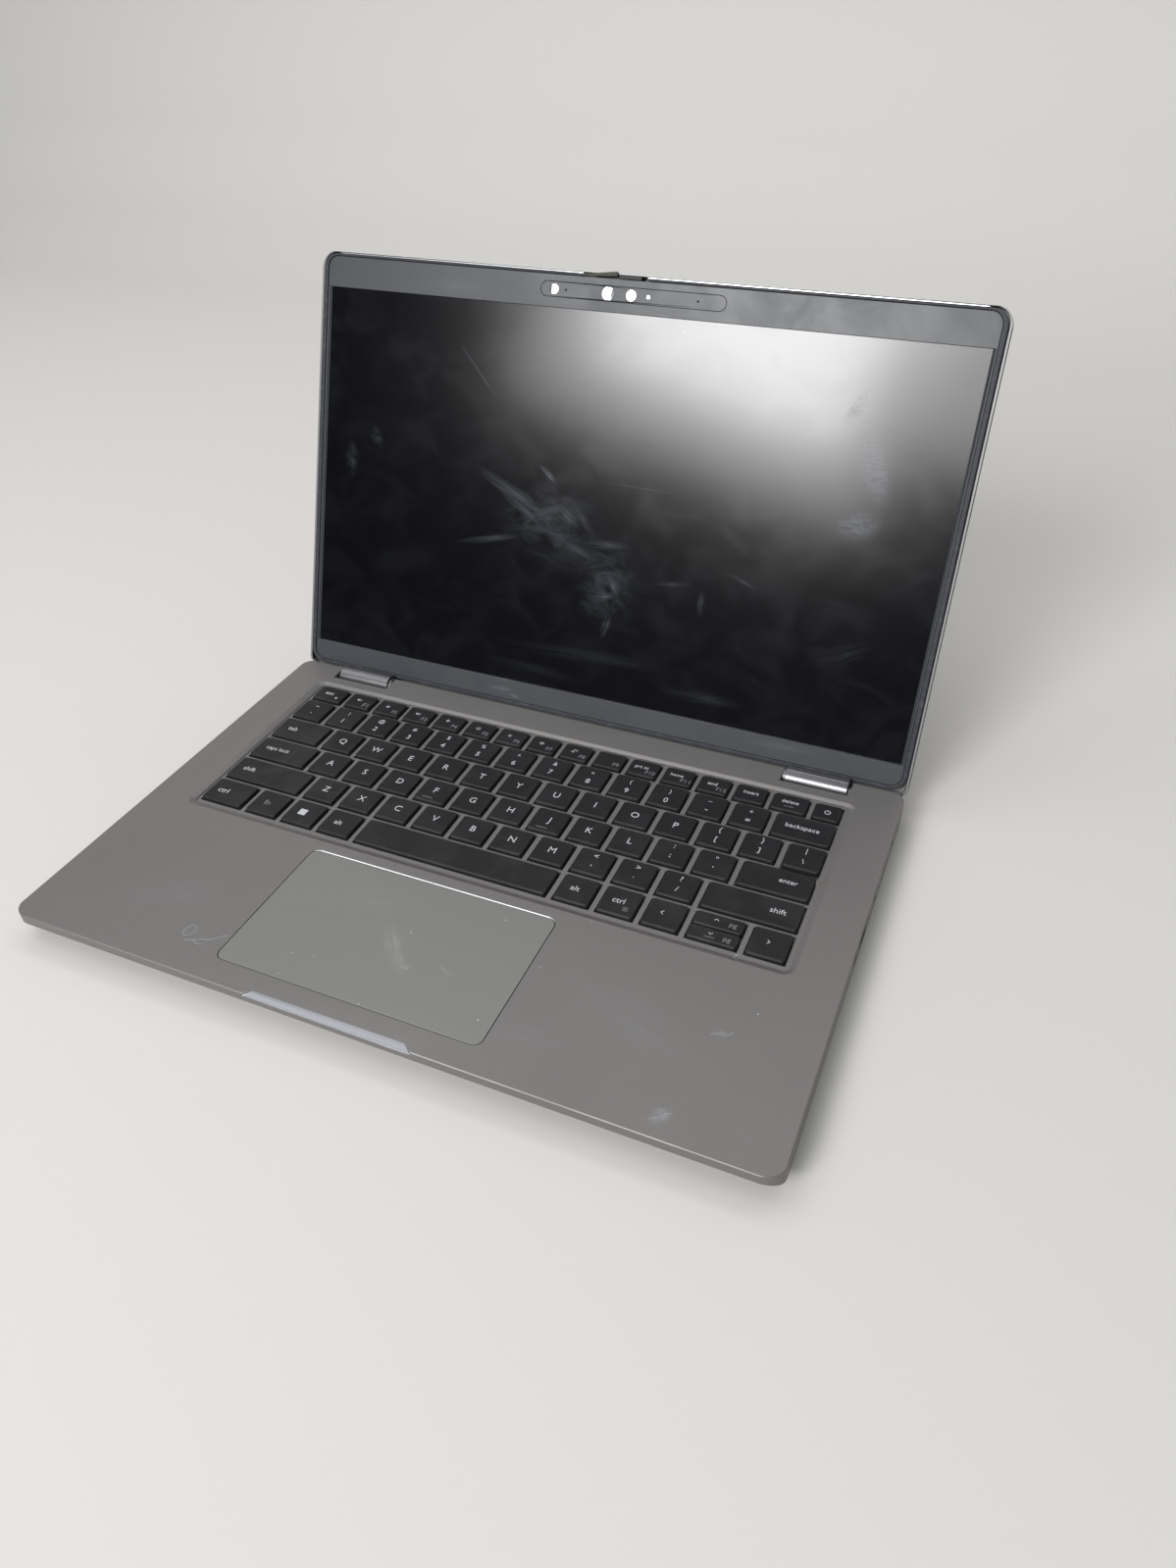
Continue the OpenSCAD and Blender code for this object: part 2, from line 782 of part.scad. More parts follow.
module fan_rotor() {
    z0 = in_z0 + 1;
    z1 = in_z0 + fan_t + 0.2;
    color([0.1, 0.1, 0.1]) in_base() difference() {
        union() {
            rod_z(fan_x, fan_y, z0, z1, 9);
            for (i = [0 : 16]) {
                translate([fan_x, fan_y, z0 + 0.4]) rotate([0, 0, i * 360 / 17])
                    translate([8.5, -0.35, 0]) cube([12.5, 0.7, z1 - z0 - 0.8]);
            }
        }
        rod_z(fan_x, fan_y, z0 - 1, z1 + 1, 1 + fit);
    }
}

module battery_pack() {
    color([0.12, 0.12, 0.13]) in_base() {
        for (i = [-1, 0, 1]) {
            slab(i * 76 - 37, i * 76 + 37, 26, 82.5, in_z0, -5.4, 2);
        }
        slab(-112, 112, 82, 92, in_z0, -7, 0.9);
        slab(-113, 113, 25, 27, in_z0, -7, 0.9);
    }
}

module ssd_module() {
    color([0.1, 0.25, 0.15]) in_base() {
        box(30, 110, 150, 172, board_z + 0.8, board_z + 1.6);
        box(96, 100, 150, 172, board_z, board_z + 1);
        box(34, 52, 153, 169, board_z + 1.6 - eps, board_z + 2.6);
        box(60, 78, 153, 169, board_z + 1.6 - eps, board_z + 2.6);
        rod_z(31.5, 161, board_z, board_z + 1, 1.4);
    }
}

module memory_module() {
    color([0.1, 0.3, 0.15]) in_base() {
        box(20, 87.6, 104, 134, board_z + 1, board_z + 2);
        box(18, 89.6, 132, 137, board_z, board_z + 1.2);
        for (i = [0 : 3]) {
            box(24 + i * 16, 35 + i * 16, 110, 124, board_z + 2 - eps, board_z + 2.8);
        }
    }
}

module wireless_card() {
    color([0.15, 0.2, 0.45]) in_base() {
        box(100, 122, 104, 134, board_z + 0.8, board_z + 1.6);
        box(100, 122, 131, 135, board_z, board_z + 1);
        box(102, 116, 112, 126, board_z + 1.6 - eps, board_z + 2.6);
    }
}

module coin_cell() {
    color([0.75, 0.75, 0.75]) in_base() rod_z(-126, 124, board_z, board_z + 2.4, 10);
}

module speakers() {
    color([0.1, 0.1, 0.1]) in_base() both_sides() difference() {
        slab(half_w - 34.7, half_w - 7.7, 27, 82, in_z0, -5.4, 3);
        slab(half_w - 29.7, half_w - 11.7, 29, 46, in_z0 - 1, in_z0 + 1.2, 3);
    }
}

// ---------------------------------------------------------------- sockets

// metal shell open at its outer end, with a tongue inside
module socket(y, z, w, h, depth, t, tongue) {
    x1 = half_w - 0.3;
    difference() {
        box(x1 - depth, x1, y - w / 2, y + w / 2, z - h / 2, z + h / 2);
        box(x1 - depth + t, x1 + 1, y - w / 2 + t, y + w / 2 - t, z - h / 2 + t, z + h / 2 - t);
    }
    box(x1 - depth + t / 2, x1 - 1.5, y - w / 2 + 1.4, y + w / 2 - 1.4, z + tongue / 2 - 0.3,
        z + tongue);
}

// solder tail between a socket's underside and the board
module socket_seat(y, z, w, h) {
    box(half_w - 14, half_w - 6, y - w / 2 + 1, y + w / 2 - 1, board_z, z - h / 2 + eps);
}

module usb_a_ports() {
    color([0.7, 0.7, 0.72]) in_base() for (y = usb_a_y) {
        socket(y, sock_z, 13.4, 5.4, 15, 0.4, 1.4);
    }
}

module video_port() {
    color([0.7, 0.7, 0.72]) in_base() {
        socket(video_y, sock_z, 14.8, 5.2, 12, 0.4, 0.9);
        socket_seat(video_y, sock_z, 14.8, 5.2);
    }
}

module network_port() {
    x1 = half_w - wall_t - fit;
    color([0.08, 0.08, 0.08]) in_base() difference() {
        box(x1 - lan_d, x1, lan_y - 8, lan_y + 8, -split_z, -plate_t - 0.3);
        box(x1 - lan_d + 1.5, x1 + 1, lan_y - lan_w / 2, lan_y + lan_w / 2, -lan_low, -lan_high);
    }
}

module audio_jack() {
    x1 = half_w - 0.4;
    color([0.08, 0.08, 0.08]) in_base() difference() {
        union() {
            rod_x(x1 - 4, x1, jack_y, sock_z, 2.7);
            box(x1 - 16, x1 - 1.4, jack_y - 3.2, jack_y + 3.2, board_z, sock_z + 2.7);
        }
        rod_x(x1 - 14.6, x1 + 1, jack_y, sock_z, jack_r);
    }
}

module card_reader() {
    x1 = half_w - wall_t - fit;
    color([0.7, 0.7, 0.72]) in_base() difference() {
        box(x1 - 15, x1, card_y - 7, card_y + 7, board_z, -6.2);
        box(x1 - 14, x1 + 1, card_y - 5.7, card_y + 5.7, -7.9, -6.7);
    }
}

module usb_c_ports() {
    x1 = half_w - 0.3;
    z = sock_z - 0.8;
    color([0.7, 0.7, 0.72]) in_base() mirror([1, 0, 0]) for (y = usb_c_y) {
        difference() {
            union() {
                oval_x(x1 - 8, x1, y, z, 9, 3.2);
                box(x1 - 8, x1 - 3, y - 3.5, y + 3.5, board_z, z);
            }
            oval_x(x1 - 6.6, x1 + 1, y, z, 8.3, 2.5);
        }
        box(x1 - 7, x1 - 1, y - 3.2, y + 3.2, z - 0.35, z + 0.35);
    }
}

// ---------------------------------------------------------------- lid

// barrel clearance in the lid's lower edge
module barrel_cut() {
    both_sides() rod_x(cap_x - 0.4, cap_x + cap_len + 0.4, 0, 0, cap_r + 0.2);
}

module cap_cut() {
    barrel_cut();
    both_sides() {
        box(cap_x - 0.4, cap_x + cap_len + 0.4, -3, trim_y0 + 0.3, -hinge_h - 1.5, 1);
        box(cap_x + cap_len - 4, cap_x + cap_len + 0.4, 0.2, 6, lid_back + skin_t, 1);
    }
}

module lid_back_cover() {
    y0 = lid_b;
    y1 = lid_top;
    face = -hinge_h - 0.2;
    color([0.6, 0.6, 0.6]) in_lid() difference() {
        intersection() {
            slab(-half_w, half_w, y0, y1, lid_back, face, case_r - 0.5);
            along_y(y0 - 1, y1 + 1, [
                [-half_w, face], [-half_w, lid_back + lid_edge], [-half_w + lid_edge, lid_back],
                [half_w - lid_edge, lid_back], [half_w, lid_back + lid_edge], [half_w, face]
            ]);
            along_x(-half_w, half_w, [
                [y0, face - 0.8], [y0, lid_back + lid_edge], [y0 + lid_edge, lid_back],
                [y1 - lid_edge, lid_back], [y1, lid_back + lid_edge], [y1, face],
                [trim_y0 - 0.4, face], [trim_y0 - 0.4, face - 0.8]
            ]);
        }
        slab(-half_w + rim_t, half_w - rim_t, y0 + rim_t, y1 - 0.4, lid_back + skin_t, 1,
             case_r - 0.5 - rim_t);
        cap_cut();
    }
}

module bezel_plate(z0, z1) {
    slab(-bezel_x, bezel_x, bezel_y0, bezel_y1, z0, z1, bezel_r);
}

module display_bezel() {
    face = -hinge_h;
    low = face - bezel_t;
    wx = window_w / 2;
    color([0.28, 0.29, 0.31]) in_lid() difference() {
        bezel_plate(low, face);
        along_y(window_y, window_y1, [
            [-wx, low - 1], [-wx, low + 0.1], [-bezel_x + 0.4, face], [-bezel_x + 0.4, face + 1],
            [bezel_x - 0.4, face + 1], [bezel_x - 0.4, face], [wx, low + 0.1], [wx, low - 1]
        ]);
        oval_z(cam_x, cam_y, cam_w + 0.3, cam_h + 0.3, low - 1, face + 1);
    }
}

// rubber loop round the bezel, broken at the top centre with one end lifted out
module lid_edge_trim() {
    z0 = -hinge_h - trim_deep;
    z1 = -hinge_h + trim_proud;
    color([0.2, 0.21, 0.22]) in_lid() {
        difference() {
            slab(-trim_x, trim_x, trim_y0, trim_y1, z0, z1, trim_r);
            slab(-trim_x + trim_w, trim_x - trim_w, trim_y0 + 2.05, trim_y1 - trim_wy,
                 z0 - 1, z1 + 1, trim_r - trim_w);
            box(lift_from, break_x1, trim_y1 - trim_wy - 1, trim_y1 + 1, z0 - 1, z1 + 1);
            barrel_cut();
        }
        translate([lift_from, trim_y1, 0]) rotate([0, 0, lift_deg])
            box(-0.6, break_x0 - lift_from, -trim_wy, 0, -hinge_h - 0.15, z1);
    }
}

module lcd_panel() {
    z1 = -hinge_h - bezel_t - fit;
    color([0.02, 0.02, 0.03]) in_lid()
        box(-window_w / 2 - 1.3, window_w / 2 + 1.3, window_y - 3, window_y1 + 2.4,
            z1 - lcd_t, z1);
}

// name, centre and radius of each round window in the camera strip
lamp_x = -36.8;
lamp_r = 2.2;
lens_x = -10.6;
lens_r = 3;
ir_x = 0.3;
ir_r = 2.4;
light_x = 8.3;
light_r = 0.9;
mic_at = [-31, 31.2];

module camera_cover() {
    z1 = -hinge_h - 0.05;
    color([0.24, 0.25, 0.27]) in_lid() difference() {
        oval_z(cam_x, cam_y, cam_w, cam_h, z1 - cam_t, z1);
        rod_z(lamp_x, cam_y, z1 - 2, z1 + 1, lamp_r);
        rod_z(lens_x, cam_y, z1 - 2, z1 + 1, lens_r);
        rod_z(ir_x, cam_y, z1 - 2, z1 + 1, ir_r);
        rod_z(light_x, cam_y, z1 - 2, z1 + 1, light_r);
        for (x = mic_at) {
            rod_z(x, cam_y, z1 - 2, z1 + 1, mic_r);
        }
    }
}

module camera_window(x, r) {
    z1 = -hinge_h - 0.1;
    color([0.05, 0.05, 0.06]) in_lid() rod_z(x, cam_y, z1 - lens_t, z1, r);
}

module infrared_lamp() {
    camera_window(lamp_x, lamp_r);
}

module camera_lens() {
    camera_window(lens_x, lens_r);
}

module infrared_lens() {
    camera_window(ir_x, ir_r);
}

module camera_light() {
    camera_window(light_x, light_r);
}

module camera_module() {
    z1 = -hinge_h - film_z - film_t - slip;
    color([0.1, 0.25, 0.15]) in_lid() {
        box(-42, 42, cam_y - 3.2, cam_y + 3.2, z1 - 1.6, z1 - 0.6);
        rod_z(lens_x, cam_y, z1 - 1, z1, 2.4);
        rod_z(ir_x, cam_y, z1 - 1, z1, 2.4);
        rod_z(lamp_x, cam_y, z1 - 1, z1, 1.6);
        box(-30, 30, cam_y - 2, cam_y + 2, lid_back + skin_t, z1 - 1.5);
    }
}

// ribbed thumb piece in the trim channel, with the film that covers the lens
module camera_shutter() {
    face = -hinge_h;
    y0 = trim_y1 - trim_wy;
    color([0.04, 0.04, 0.04]) in_lid() {
        box(thumb_x0, thumb_x1, y0 + 0.1, trim_y1 - 0.1, face - film_z - film_t, face - 0.1);
        for (i = [0 : 7]) {
            box(thumb_x0 + 0.4 + i * 1.3, thumb_x0 + 1 + i * 1.3, y0 + 0.1, trim_y1 - 0.1,
                face - 0.2, face + 0.35);
        }
        box(-4, 3, cam_y + 2, y0 + 0.2, face - film_z - film_t, face - film_z);
        difference() {
            box(-44, 3, cam_y - 2.7, cam_y + 2.9, face - film_z - film_t, face - film_z);
            box(lamp_x - 1.6, lamp_x + 5, cam_y - 2.2, cam_y + 2.2, face - 4, face);
            box(lens_x - 5, lens_x + 1.7, cam_y - 2.3, cam_y + 2.3, face - 4, face);
            box(ir_x - 5.2, ir_x + 2.2, cam_y - 2.3, cam_y + 2.3, face - 4, face);
        }
    }
}

module lid_antennas() {
    low = lid_back + skin_t;
    color([0.7, 0.6, 0.3]) in_lid() both_sides()
        box(60, 108, window_y1 + 3, window_y1 + 11, low, low + 0.8);
}

// flat ribbon from the left hinge up behind the panel
module display_cable() {
    low = lid_back + skin_t;
    x0 = -cap_x + 3;
    color([0.1, 0.1, 0.1]) in_lid() {
        box(x0, x0 + 9, 5, 40, low, low + 0.4);
        box(x0, -30, 40, 48, low, low + 0.4);
        box(-38, -30, 40, window_y + 60, low, low + 0.4);
        box(-50, -20, window_y + 60, window_y + 66, low, low + 0.9);
    }
}

// ---------------------------------------------------------------- what is drawn

palmrest_cover();
bottom_cover();
front_feet();
rear_foot();
bottom_screws();
keyboard_lattice();
keyboard_plate();
keyboard_membrane();
function_keys();
power_button();
number_keys();
backspace_key();
upper_letter_keys();
home_letter_keys();
enter_key();
lower_letter_keys();
left_shift_key();
right_shift_key();
modifier_keys();
space_bar();
arrow_keys();
touchpad_plate();
touchpad_bracket();
hinge_bracket_left();
hinge_bracket_right();
hinge_pins();
hinge_arm_left();
hinge_arm_right();
hinge_cap_left();
hinge_cap_right();
system_board();
heatsink();
fan_housing();
fan_rotor();
battery_pack();
ssd_module();
memory_module();
wireless_card();
coin_cell();
speakers();
usb_c_ports();
usb_a_ports();
video_port();
network_port();
audio_jack();
card_reader();
lid_back_cover();
display_bezel();
lid_edge_trim();
lcd_panel();
camera_cover();
camera_lens();
infrared_lens();
infrared_lamp();
camera_light();
camera_module();
camera_shutter();
lid_antennas();
display_cable();
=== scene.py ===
import json
import math
import random

import bmesh
import bpy
from mathutils import Matrix, Vector


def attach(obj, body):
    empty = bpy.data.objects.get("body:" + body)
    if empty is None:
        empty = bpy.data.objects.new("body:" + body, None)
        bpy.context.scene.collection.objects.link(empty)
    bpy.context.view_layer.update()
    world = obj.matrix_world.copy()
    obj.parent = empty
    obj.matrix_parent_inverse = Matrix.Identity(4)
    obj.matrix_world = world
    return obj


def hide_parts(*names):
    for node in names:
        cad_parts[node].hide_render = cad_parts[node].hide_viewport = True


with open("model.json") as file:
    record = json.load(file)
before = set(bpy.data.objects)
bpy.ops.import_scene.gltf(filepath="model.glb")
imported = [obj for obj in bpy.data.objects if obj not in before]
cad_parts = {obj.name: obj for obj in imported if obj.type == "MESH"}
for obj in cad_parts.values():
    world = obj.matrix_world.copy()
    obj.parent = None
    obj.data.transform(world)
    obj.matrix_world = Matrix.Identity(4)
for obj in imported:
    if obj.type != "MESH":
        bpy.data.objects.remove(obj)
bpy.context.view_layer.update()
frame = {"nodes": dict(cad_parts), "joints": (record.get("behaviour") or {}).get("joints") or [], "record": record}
nodes = frame["nodes"]
print("frame loaded,", len(nodes), "nodes")

# deck frame: x right, y back from the front edge, z up from the deck
# lid frame: y up the lid from the hinge axis, z = -3.9 is the bezel's face
# both are in millimetres, and hang on the hinge that the record states
mm = 0.001
hingeLook = {"back": 0.20655, "drop": 0.0031}  # hinge axis behind the deck's front edge and below its face, m
hinge = [j for j in frame["joints"] if j["name"] == "lid_hinge"][0]
hingeY, hingeZ = hinge["pos_m"][1], hinge["pos_m"][2]
lidTilt = math.radians(hinge["range_deg"][1])
deckOrigin = (0.0, hingeY - hingeLook["back"], hingeZ + hingeLook["drop"])
lidOrigin = (0.0, hingeY, hingeZ)
deckPlace = Matrix.Translation(deckOrigin) @ Matrix.Scale(mm, 4)
lidPlace = Matrix.Translation(lidOrigin) @ Matrix.Rotation(lidTilt, 4, "X") @ Matrix.Scale(mm, 4)
deckInverse = deckPlace.inverted()
lidInverse = lidPlace.inverted()

random.seed(14)


# helpers for shader nodes

def addNode(tree, kind, inputs=None, **settings):
    node = tree.nodes.new("ShaderNode" + kind)
    for key, value in settings.items():
        setattr(node, key, value)
    for key, value in (inputs or {}).items():
        if isinstance(value, bpy.types.NodeSocket):
            tree.links.new(value, node.inputs[key])
        else:
            node.inputs[key].default_value = value
    return node


def newFinish(name, roughness=0.5, metallic=0.0, **sockets):
    material = bpy.data.materials.new(name)
    material.use_nodes = True
    shader = material.node_tree.nodes["Principled BSDF"]
    shader.inputs["Roughness"].default_value = roughness
    shader.inputs["Metallic"].default_value = metallic
    for key, value in sockets.items():
        shader.inputs[key].default_value = value
    return material, material.node_tree, shader


def deckSpot(tree):  # millimetres in the deck frame
    point = addNode(tree, "TexCoord").outputs["Object"]
    return addNode(tree, "Mapping", {"Vector": point, "Location": deckOrigin, "Scale": (mm, mm, mm)},
                   vector_type="TEXTURE").outputs[0]


def lidSpot(tree):  # millimetres in the lid frame
    point = addNode(tree, "TexCoord").outputs["Object"]
    return addNode(tree, "Mapping", {"Vector": point, "Location": lidOrigin,
                                     "Rotation": (lidTilt, 0, 0), "Scale": (mm, mm, mm)},
                   vector_type="TEXTURE").outputs[0]


def grain(tree, spot, scale, detail=3, rough=0.55, stretch=None, distortion=0.0):
    if stretch:
        spot = addNode(tree, "Mapping", {"Vector": spot, "Scale": stretch}).outputs[0]
    return addNode(tree, "TexNoise", {"Vector": spot, "Scale": scale, "Detail": detail,
                                      "Roughness": rough, "Distortion": distortion}).outputs["Fac"]


def spread(tree, value, low, high, toLow=0.0, toHigh=1.0, kind="SMOOTHSTEP"):
    return addNode(tree, "MapRange", {"Value": value, "From Min": low, "From Max": high,
                                      "To Min": toLow, "To Max": toHigh},
                   interpolation_type=kind).outputs["Result"]


def sums(tree, operation, a, b):
    return addNode(tree, "Math", {0: a, 1: b}, operation=operation).outputs[0]


def most(tree, masks):
    total = masks[0]
    for mask in masks[1:]:
        total = sums(tree, "MAXIMUM", total, mask)
    return total


def tint(tree, share, a, b):
    mixed = addNode(tree, "Mix", {0: share}, data_type="RGBA")
    for index, colour in ((6, a), (7, b)):
        if isinstance(colour, bpy.types.NodeSocket):
            tree.links.new(colour, mixed.inputs[index])
        else:
            mixed.inputs[index].default_value = (*colour, 1)
    return mixed.outputs[2]


def bumps(tree, shader, height, strength, distance):
    bump = addNode(tree, "Bump", {"Height": height, "Strength": strength, "Distance": distance})
    tree.links.new(bump.outputs[0], shader.inputs["Normal"])


def feed(tree, shader, **sockets):
    for key, value in sockets.items():
        tree.links.new(value, shader.inputs[key.replace("_", " ")])


# an oval patch: centre, half sizes, turn in degrees, how far its full strength reaches
def patch(tree, spot, x, y, rx, ry, turn=0, inner=0.1):
    local = addNode(tree, "Mapping", {"Vector": spot, "Location": (x, y, 0),
                                      "Rotation": (0, 0, math.radians(turn)),
                                      "Scale": (rx, ry, 100000)}, vector_type="TEXTURE").outputs[0]
    far = addNode(tree, "VectorMath", {0: local}, operation="LENGTH").outputs["Value"]
    return spread(tree, far, inner, 1.0, 1.0, 0.0), local


# a wiped streak: an oval patch broken into fibres along its length
def wipe(tree, spot, x, y, rx, ry, turn, strength=1.0, fibres=5.0, inner=0.0):
    oval, local = patch(tree, spot, x, y, rx, ry, turn, inner)
    fibre = grain(tree, local, 1.0, 4, 0.6, (1.1, fibres, 0), 0.3)
    return sums(tree, "MULTIPLY", sums(tree, "MULTIPLY", oval, spread(tree, fibre, 0.3, 0.74)), strength)


# scattered specks of dust: cells per millimetre, speck size, and how many of the cells have one
def dust(tree, spot, scale, size, share):
    flat = addNode(tree, "Mapping", {"Vector": spot, "Scale": (1, 1, 0)}).outputs[0]
    cells = addNode(tree, "TexVoronoi", {"Vector": flat, "Scale": scale, "Randomness": 1.0})
    near = spread(tree, cells.outputs["Distance"], size * scale * 0.4, size * scale, 1.0, 0.0)
    limit = 0.5 - 0.5 * (1 - share) * 0.4
    picked = sums(tree, "LESS_THAN", grain(tree, cells.outputs["Position"], 3.1, 0), limit)
    return sums(tree, "MULTIPLY", near, picked)


# finishes

def caseFinish():
    look = {"colour": (0.152, 0.147, 0.144), "light": (0.215, 0.208, 0.202), "dark": (0.112, 0.108, 0.106),
            "residue": (0.27, 0.275, 0.29), "dust": (0.5, 0.5, 0.49)}
    material, tree, shader = newFinish("caseGrey", 0.42, 0.35)
    spot = deckSpot(tree)
    flake = grain(tree, spot, 3.4, 2, 0.7)
    colour = tint(tree, spread(tree, flake, 0.52, 0.72), look["colour"], look["light"])
    colour = tint(tree, spread(tree, flake, 0.46, 0.3, 0.0, 0.8), colour, look["dark"])
    cloud = grain(tree, spot, 0.02, 4, 0.6, None, 0.4)
    smears = most(tree, [  # x, y, half length, half width, turn, strength, fibres, inner
        wipe(tree, spot, 117, 9, 5.5, 3.6, 55, 0.85, 2.2, 0.3),
        wipe(tree, spot, 125, 49, 5, 2.2, 10, 0.5, 3, 0.2),
        wipe(tree, spot, -104, 34, 26, 12, 30, 0.12, 3),
        wipe(tree, spot, 92, 44, 40, 16, -18, 0.12, 4),
        wipe(tree, spot, 60, 22, 30, 9, 12, 0.10, 4),
    ])
    specks = dust(tree, spot, 0.03, 0.32, 0.2)
    colour = tint(tree, smears, colour, look["residue"])
    colour = tint(tree, sums(tree, "MULTIPLY", specks, 0.7), colour, look["dust"])
    rough = sums(tree, "ADD", spread(tree, cloud, 0.3, 0.7, 0.40, 0.50), sums(tree, "MULTIPLY", smears, 0.15))
    feed(tree, shader, Base_Color=colour, Roughness=rough)
    bumps(tree, shader, grain(tree, spot, 2.6, 3), 0.25, 0.00004)
    return material


def lipFinish(name, colour):
    scuffShade = 0.5
    material, tree, shader = newFinish(name, 0.34, 0.75)
    spot = deckSpot(tree)
    scuffs = spread(tree, grain(tree, spot, 1.1, 4, 0.7, (1, 3, 3)), 0.6, 0.72)
    feed(tree, shader, Base_Color=tint(tree, scuffs, colour, [c * scuffShade for c in colour]),
         Roughness=spread(tree, scuffs, 0, 1, 0.3, 0.5))
    bumps(tree, shader, grain(tree, spot, 3, 2), 0.2, 0.00003)
    return material


def shellFinish():
    look = {"colour": (0.062, 0.062, 0.064), "scuff": (0.13, 0.13, 0.13)}
    material, tree, shader = newFinish("shellPlastic", 0.55)
    spot = deckSpot(tree)
    scuffs = spread(tree, grain(tree, spot, 0.35, 6, 0.75, (1, 0.25, 1)), 0.62, 0.75, 0, 0.7)
    feed(tree, shader, Base_Color=tint(tree, scuffs, look["colour"], look["scuff"]),
         Roughness=spread(tree, grain(tree, spot, 0.03, 3), 0.3, 0.7, 0.5, 0.62))
    bumps(tree, shader, grain(tree, spot, 2.2, 4, 0.7), 0.5, 0.00006)
    return material


def keyFinish():
    look = {"colour": (0.0092, 0.0092, 0.0104), "worn": (0.015, 0.015, 0.0165)}
    material, tree, shader = newFinish("keyBlack", 0.5, **{"Specular IOR Level": 0.3})
    spot = deckSpot(tree)
    use = grain(tree, spot, 0.055, 3, 0.55, None, 0.6)
    feed(tree, shader,
         Base_Color=tint(tree, spread(tree, use, 0.42, 0.68), look["colour"], look["worn"]),
         Roughness=spread(tree, use, 0.35, 0.7, 0.52, 0.40))
    bumps(tree, shader, grain(tree, spot, 3.0, 3, 0.6), 0.35, 0.00004)
    return material


def printFinish(name, colour):
    fadeShade = 0.6
    material, tree, shader = newFinish(name, 0.5)
    fade = spread(tree, grain(tree, deckSpot(tree), 0.9, 3), 0.35, 0.65, 0.0, 0.25)
    feed(tree, shader, Base_Color=tint(tree, fade, colour, [c * fadeShade for c in colour]))
    return material


def padFinish():
    look = {"colour": (0.158, 0.158, 0.150), "smear": (0.33, 0.335, 0.33), "dark": (0.11, 0.11, 0.10),
            "dust": (0.7, 0.7, 0.68)}
    material, tree, shader = newFinish("padGrey", 0.36, 0.1)
    spot = deckSpot(tree)
    smears = most(tree, [
        wipe(tree, spot, -5, 42, 18, 5.5, 131, 0.40, 2.5),
        wipe(tree, spot, 1, 36, 9, 4, 126, 0.35, 2.5),
        wipe(tree, spot, 4.5, 34.5, 2.8, 2.2, 20, 0.5, 1.4, 0.3),
        wipe(tree, spot, 19, 38.5, 6.5, 1.2, 158, 0.3, 1.5, 0.2),
        wipe(tree, spot, -30, 60, 30, 10, 20, 0.08, 3),
    ])
    rings = grain(tree, spot, 0.16, 2, 0.5, None, 2.2)
    fromRing = sums(tree, "ABSOLUTE", sums(tree, "SUBTRACT", rings, 0.5), 0.0)
    ring = sums(tree, "MULTIPLY", spread(tree, fromRing, 0.0, 0.012, 1.0, 0.0),
                patch(tree, spot, -5, 40, 20, 9, 0, 0.5)[0])
    specks = dust(tree, spot, 0.035, 0.34, 0.15)
    colour = tint(tree, smears, look["colour"], look["smear"])
    colour = tint(tree, sums(tree, "MULTIPLY", ring, 0.25), colour, look["dark"])
    colour = tint(tree, sums(tree, "MULTIPLY", specks, 0.8), colour, look["dust"])
    cloud = grain(tree, spot, 0.03, 3, 0.5)
    feed(tree, shader, Base_Color=colour,
         Roughness=sums(tree, "ADD", spread(tree, cloud, 0.3, 0.7, 0.33, 0.42),
                        sums(tree, "MULTIPLY", smears, 0.25)))
    bumps(tree, shader, grain(tree, spot, 3.2, 2), 0.12, 0.00002)
    return material


def capFinish():
    look = {"colour": (0.17, 0.17, 0.178), "worn": (0.10, 0.10, 0.105)}
    material, tree, shader = newFinish("capSilver", 0.3, 0.8)
    spot = lidSpot(tree)
    lines = grain(tree, spot, 0.9, 4, 0.6, (0.12, 3.5, 3.5))
    upLid = addNode(tree, "SeparateXYZ", {0: spot}).outputs["Y"]
    marks = sums(tree, "MULTIPLY", spread(tree, grain(tree, spot, 0.8, 5, 0.7), 0.58, 0.7),
                 spread(tree, upLid, 1.5, 3.5, 0.25, 1.0))
    feed(tree, shader, Base_Color=tint(tree, marks, look["colour"], look["worn"]),
         Roughness=spread(tree, lines, 0.3, 0.7, 0.26, 0.36))
    bumps(tree, shader, lines, 0.08, 0.00002)
    return material


def bezelFinish():
    look = {"colour": (0.026, 0.029, 0.036), "light": (0.040, 0.044, 0.052), "scuff": (0.16, 0.17, 0.19)}
    material, tree, shader = newFinish("bezelGrey", 0.42)
    spot = lidSpot(tree)
    speck = grain(tree, spot, 2.2, 3, 0.7)
    colour = tint(tree, spread(tree, speck, 0.5, 0.7), look["colour"], look["light"])
    scuffs = most(tree, [
        wipe(tree, spot, -45, 10.5, 9, 2.0, 4, 0.5, 4),
        wipe(tree, spot, -37, 8.0, 4, 1.4, -8, 0.6, 3),
        wipe(tree, spot, -44, 15.6, 10, 0.5, 0, 0.6, 1),
        wipe(tree, spot, 16, 191.6, 6, 0.6, 0, 0.5, 1),
        wipe(tree, spot, 100, 12, 22, 2.5, 3, 0.25, 5),
        wipe(tree, spot, -90, 196, 26, 4, 2, 0.15, 6),
        dust(tree, spot, 0.06, 0.26, 0.15),
    ])
    cloud = grain(tree, spot, 0.035, 4, 0.6, None, 0.5)
    feed(tree, shader, Base_Color=tint(tree, scuffs, colour, look["scuff"]),
         Roughness=spread(tree, cloud, 0.3, 0.7, 0.38, 0.46))
    bumps(tree, shader, grain(tree, spot, 2.4, 3), 0.35, 0.00004)
    return material


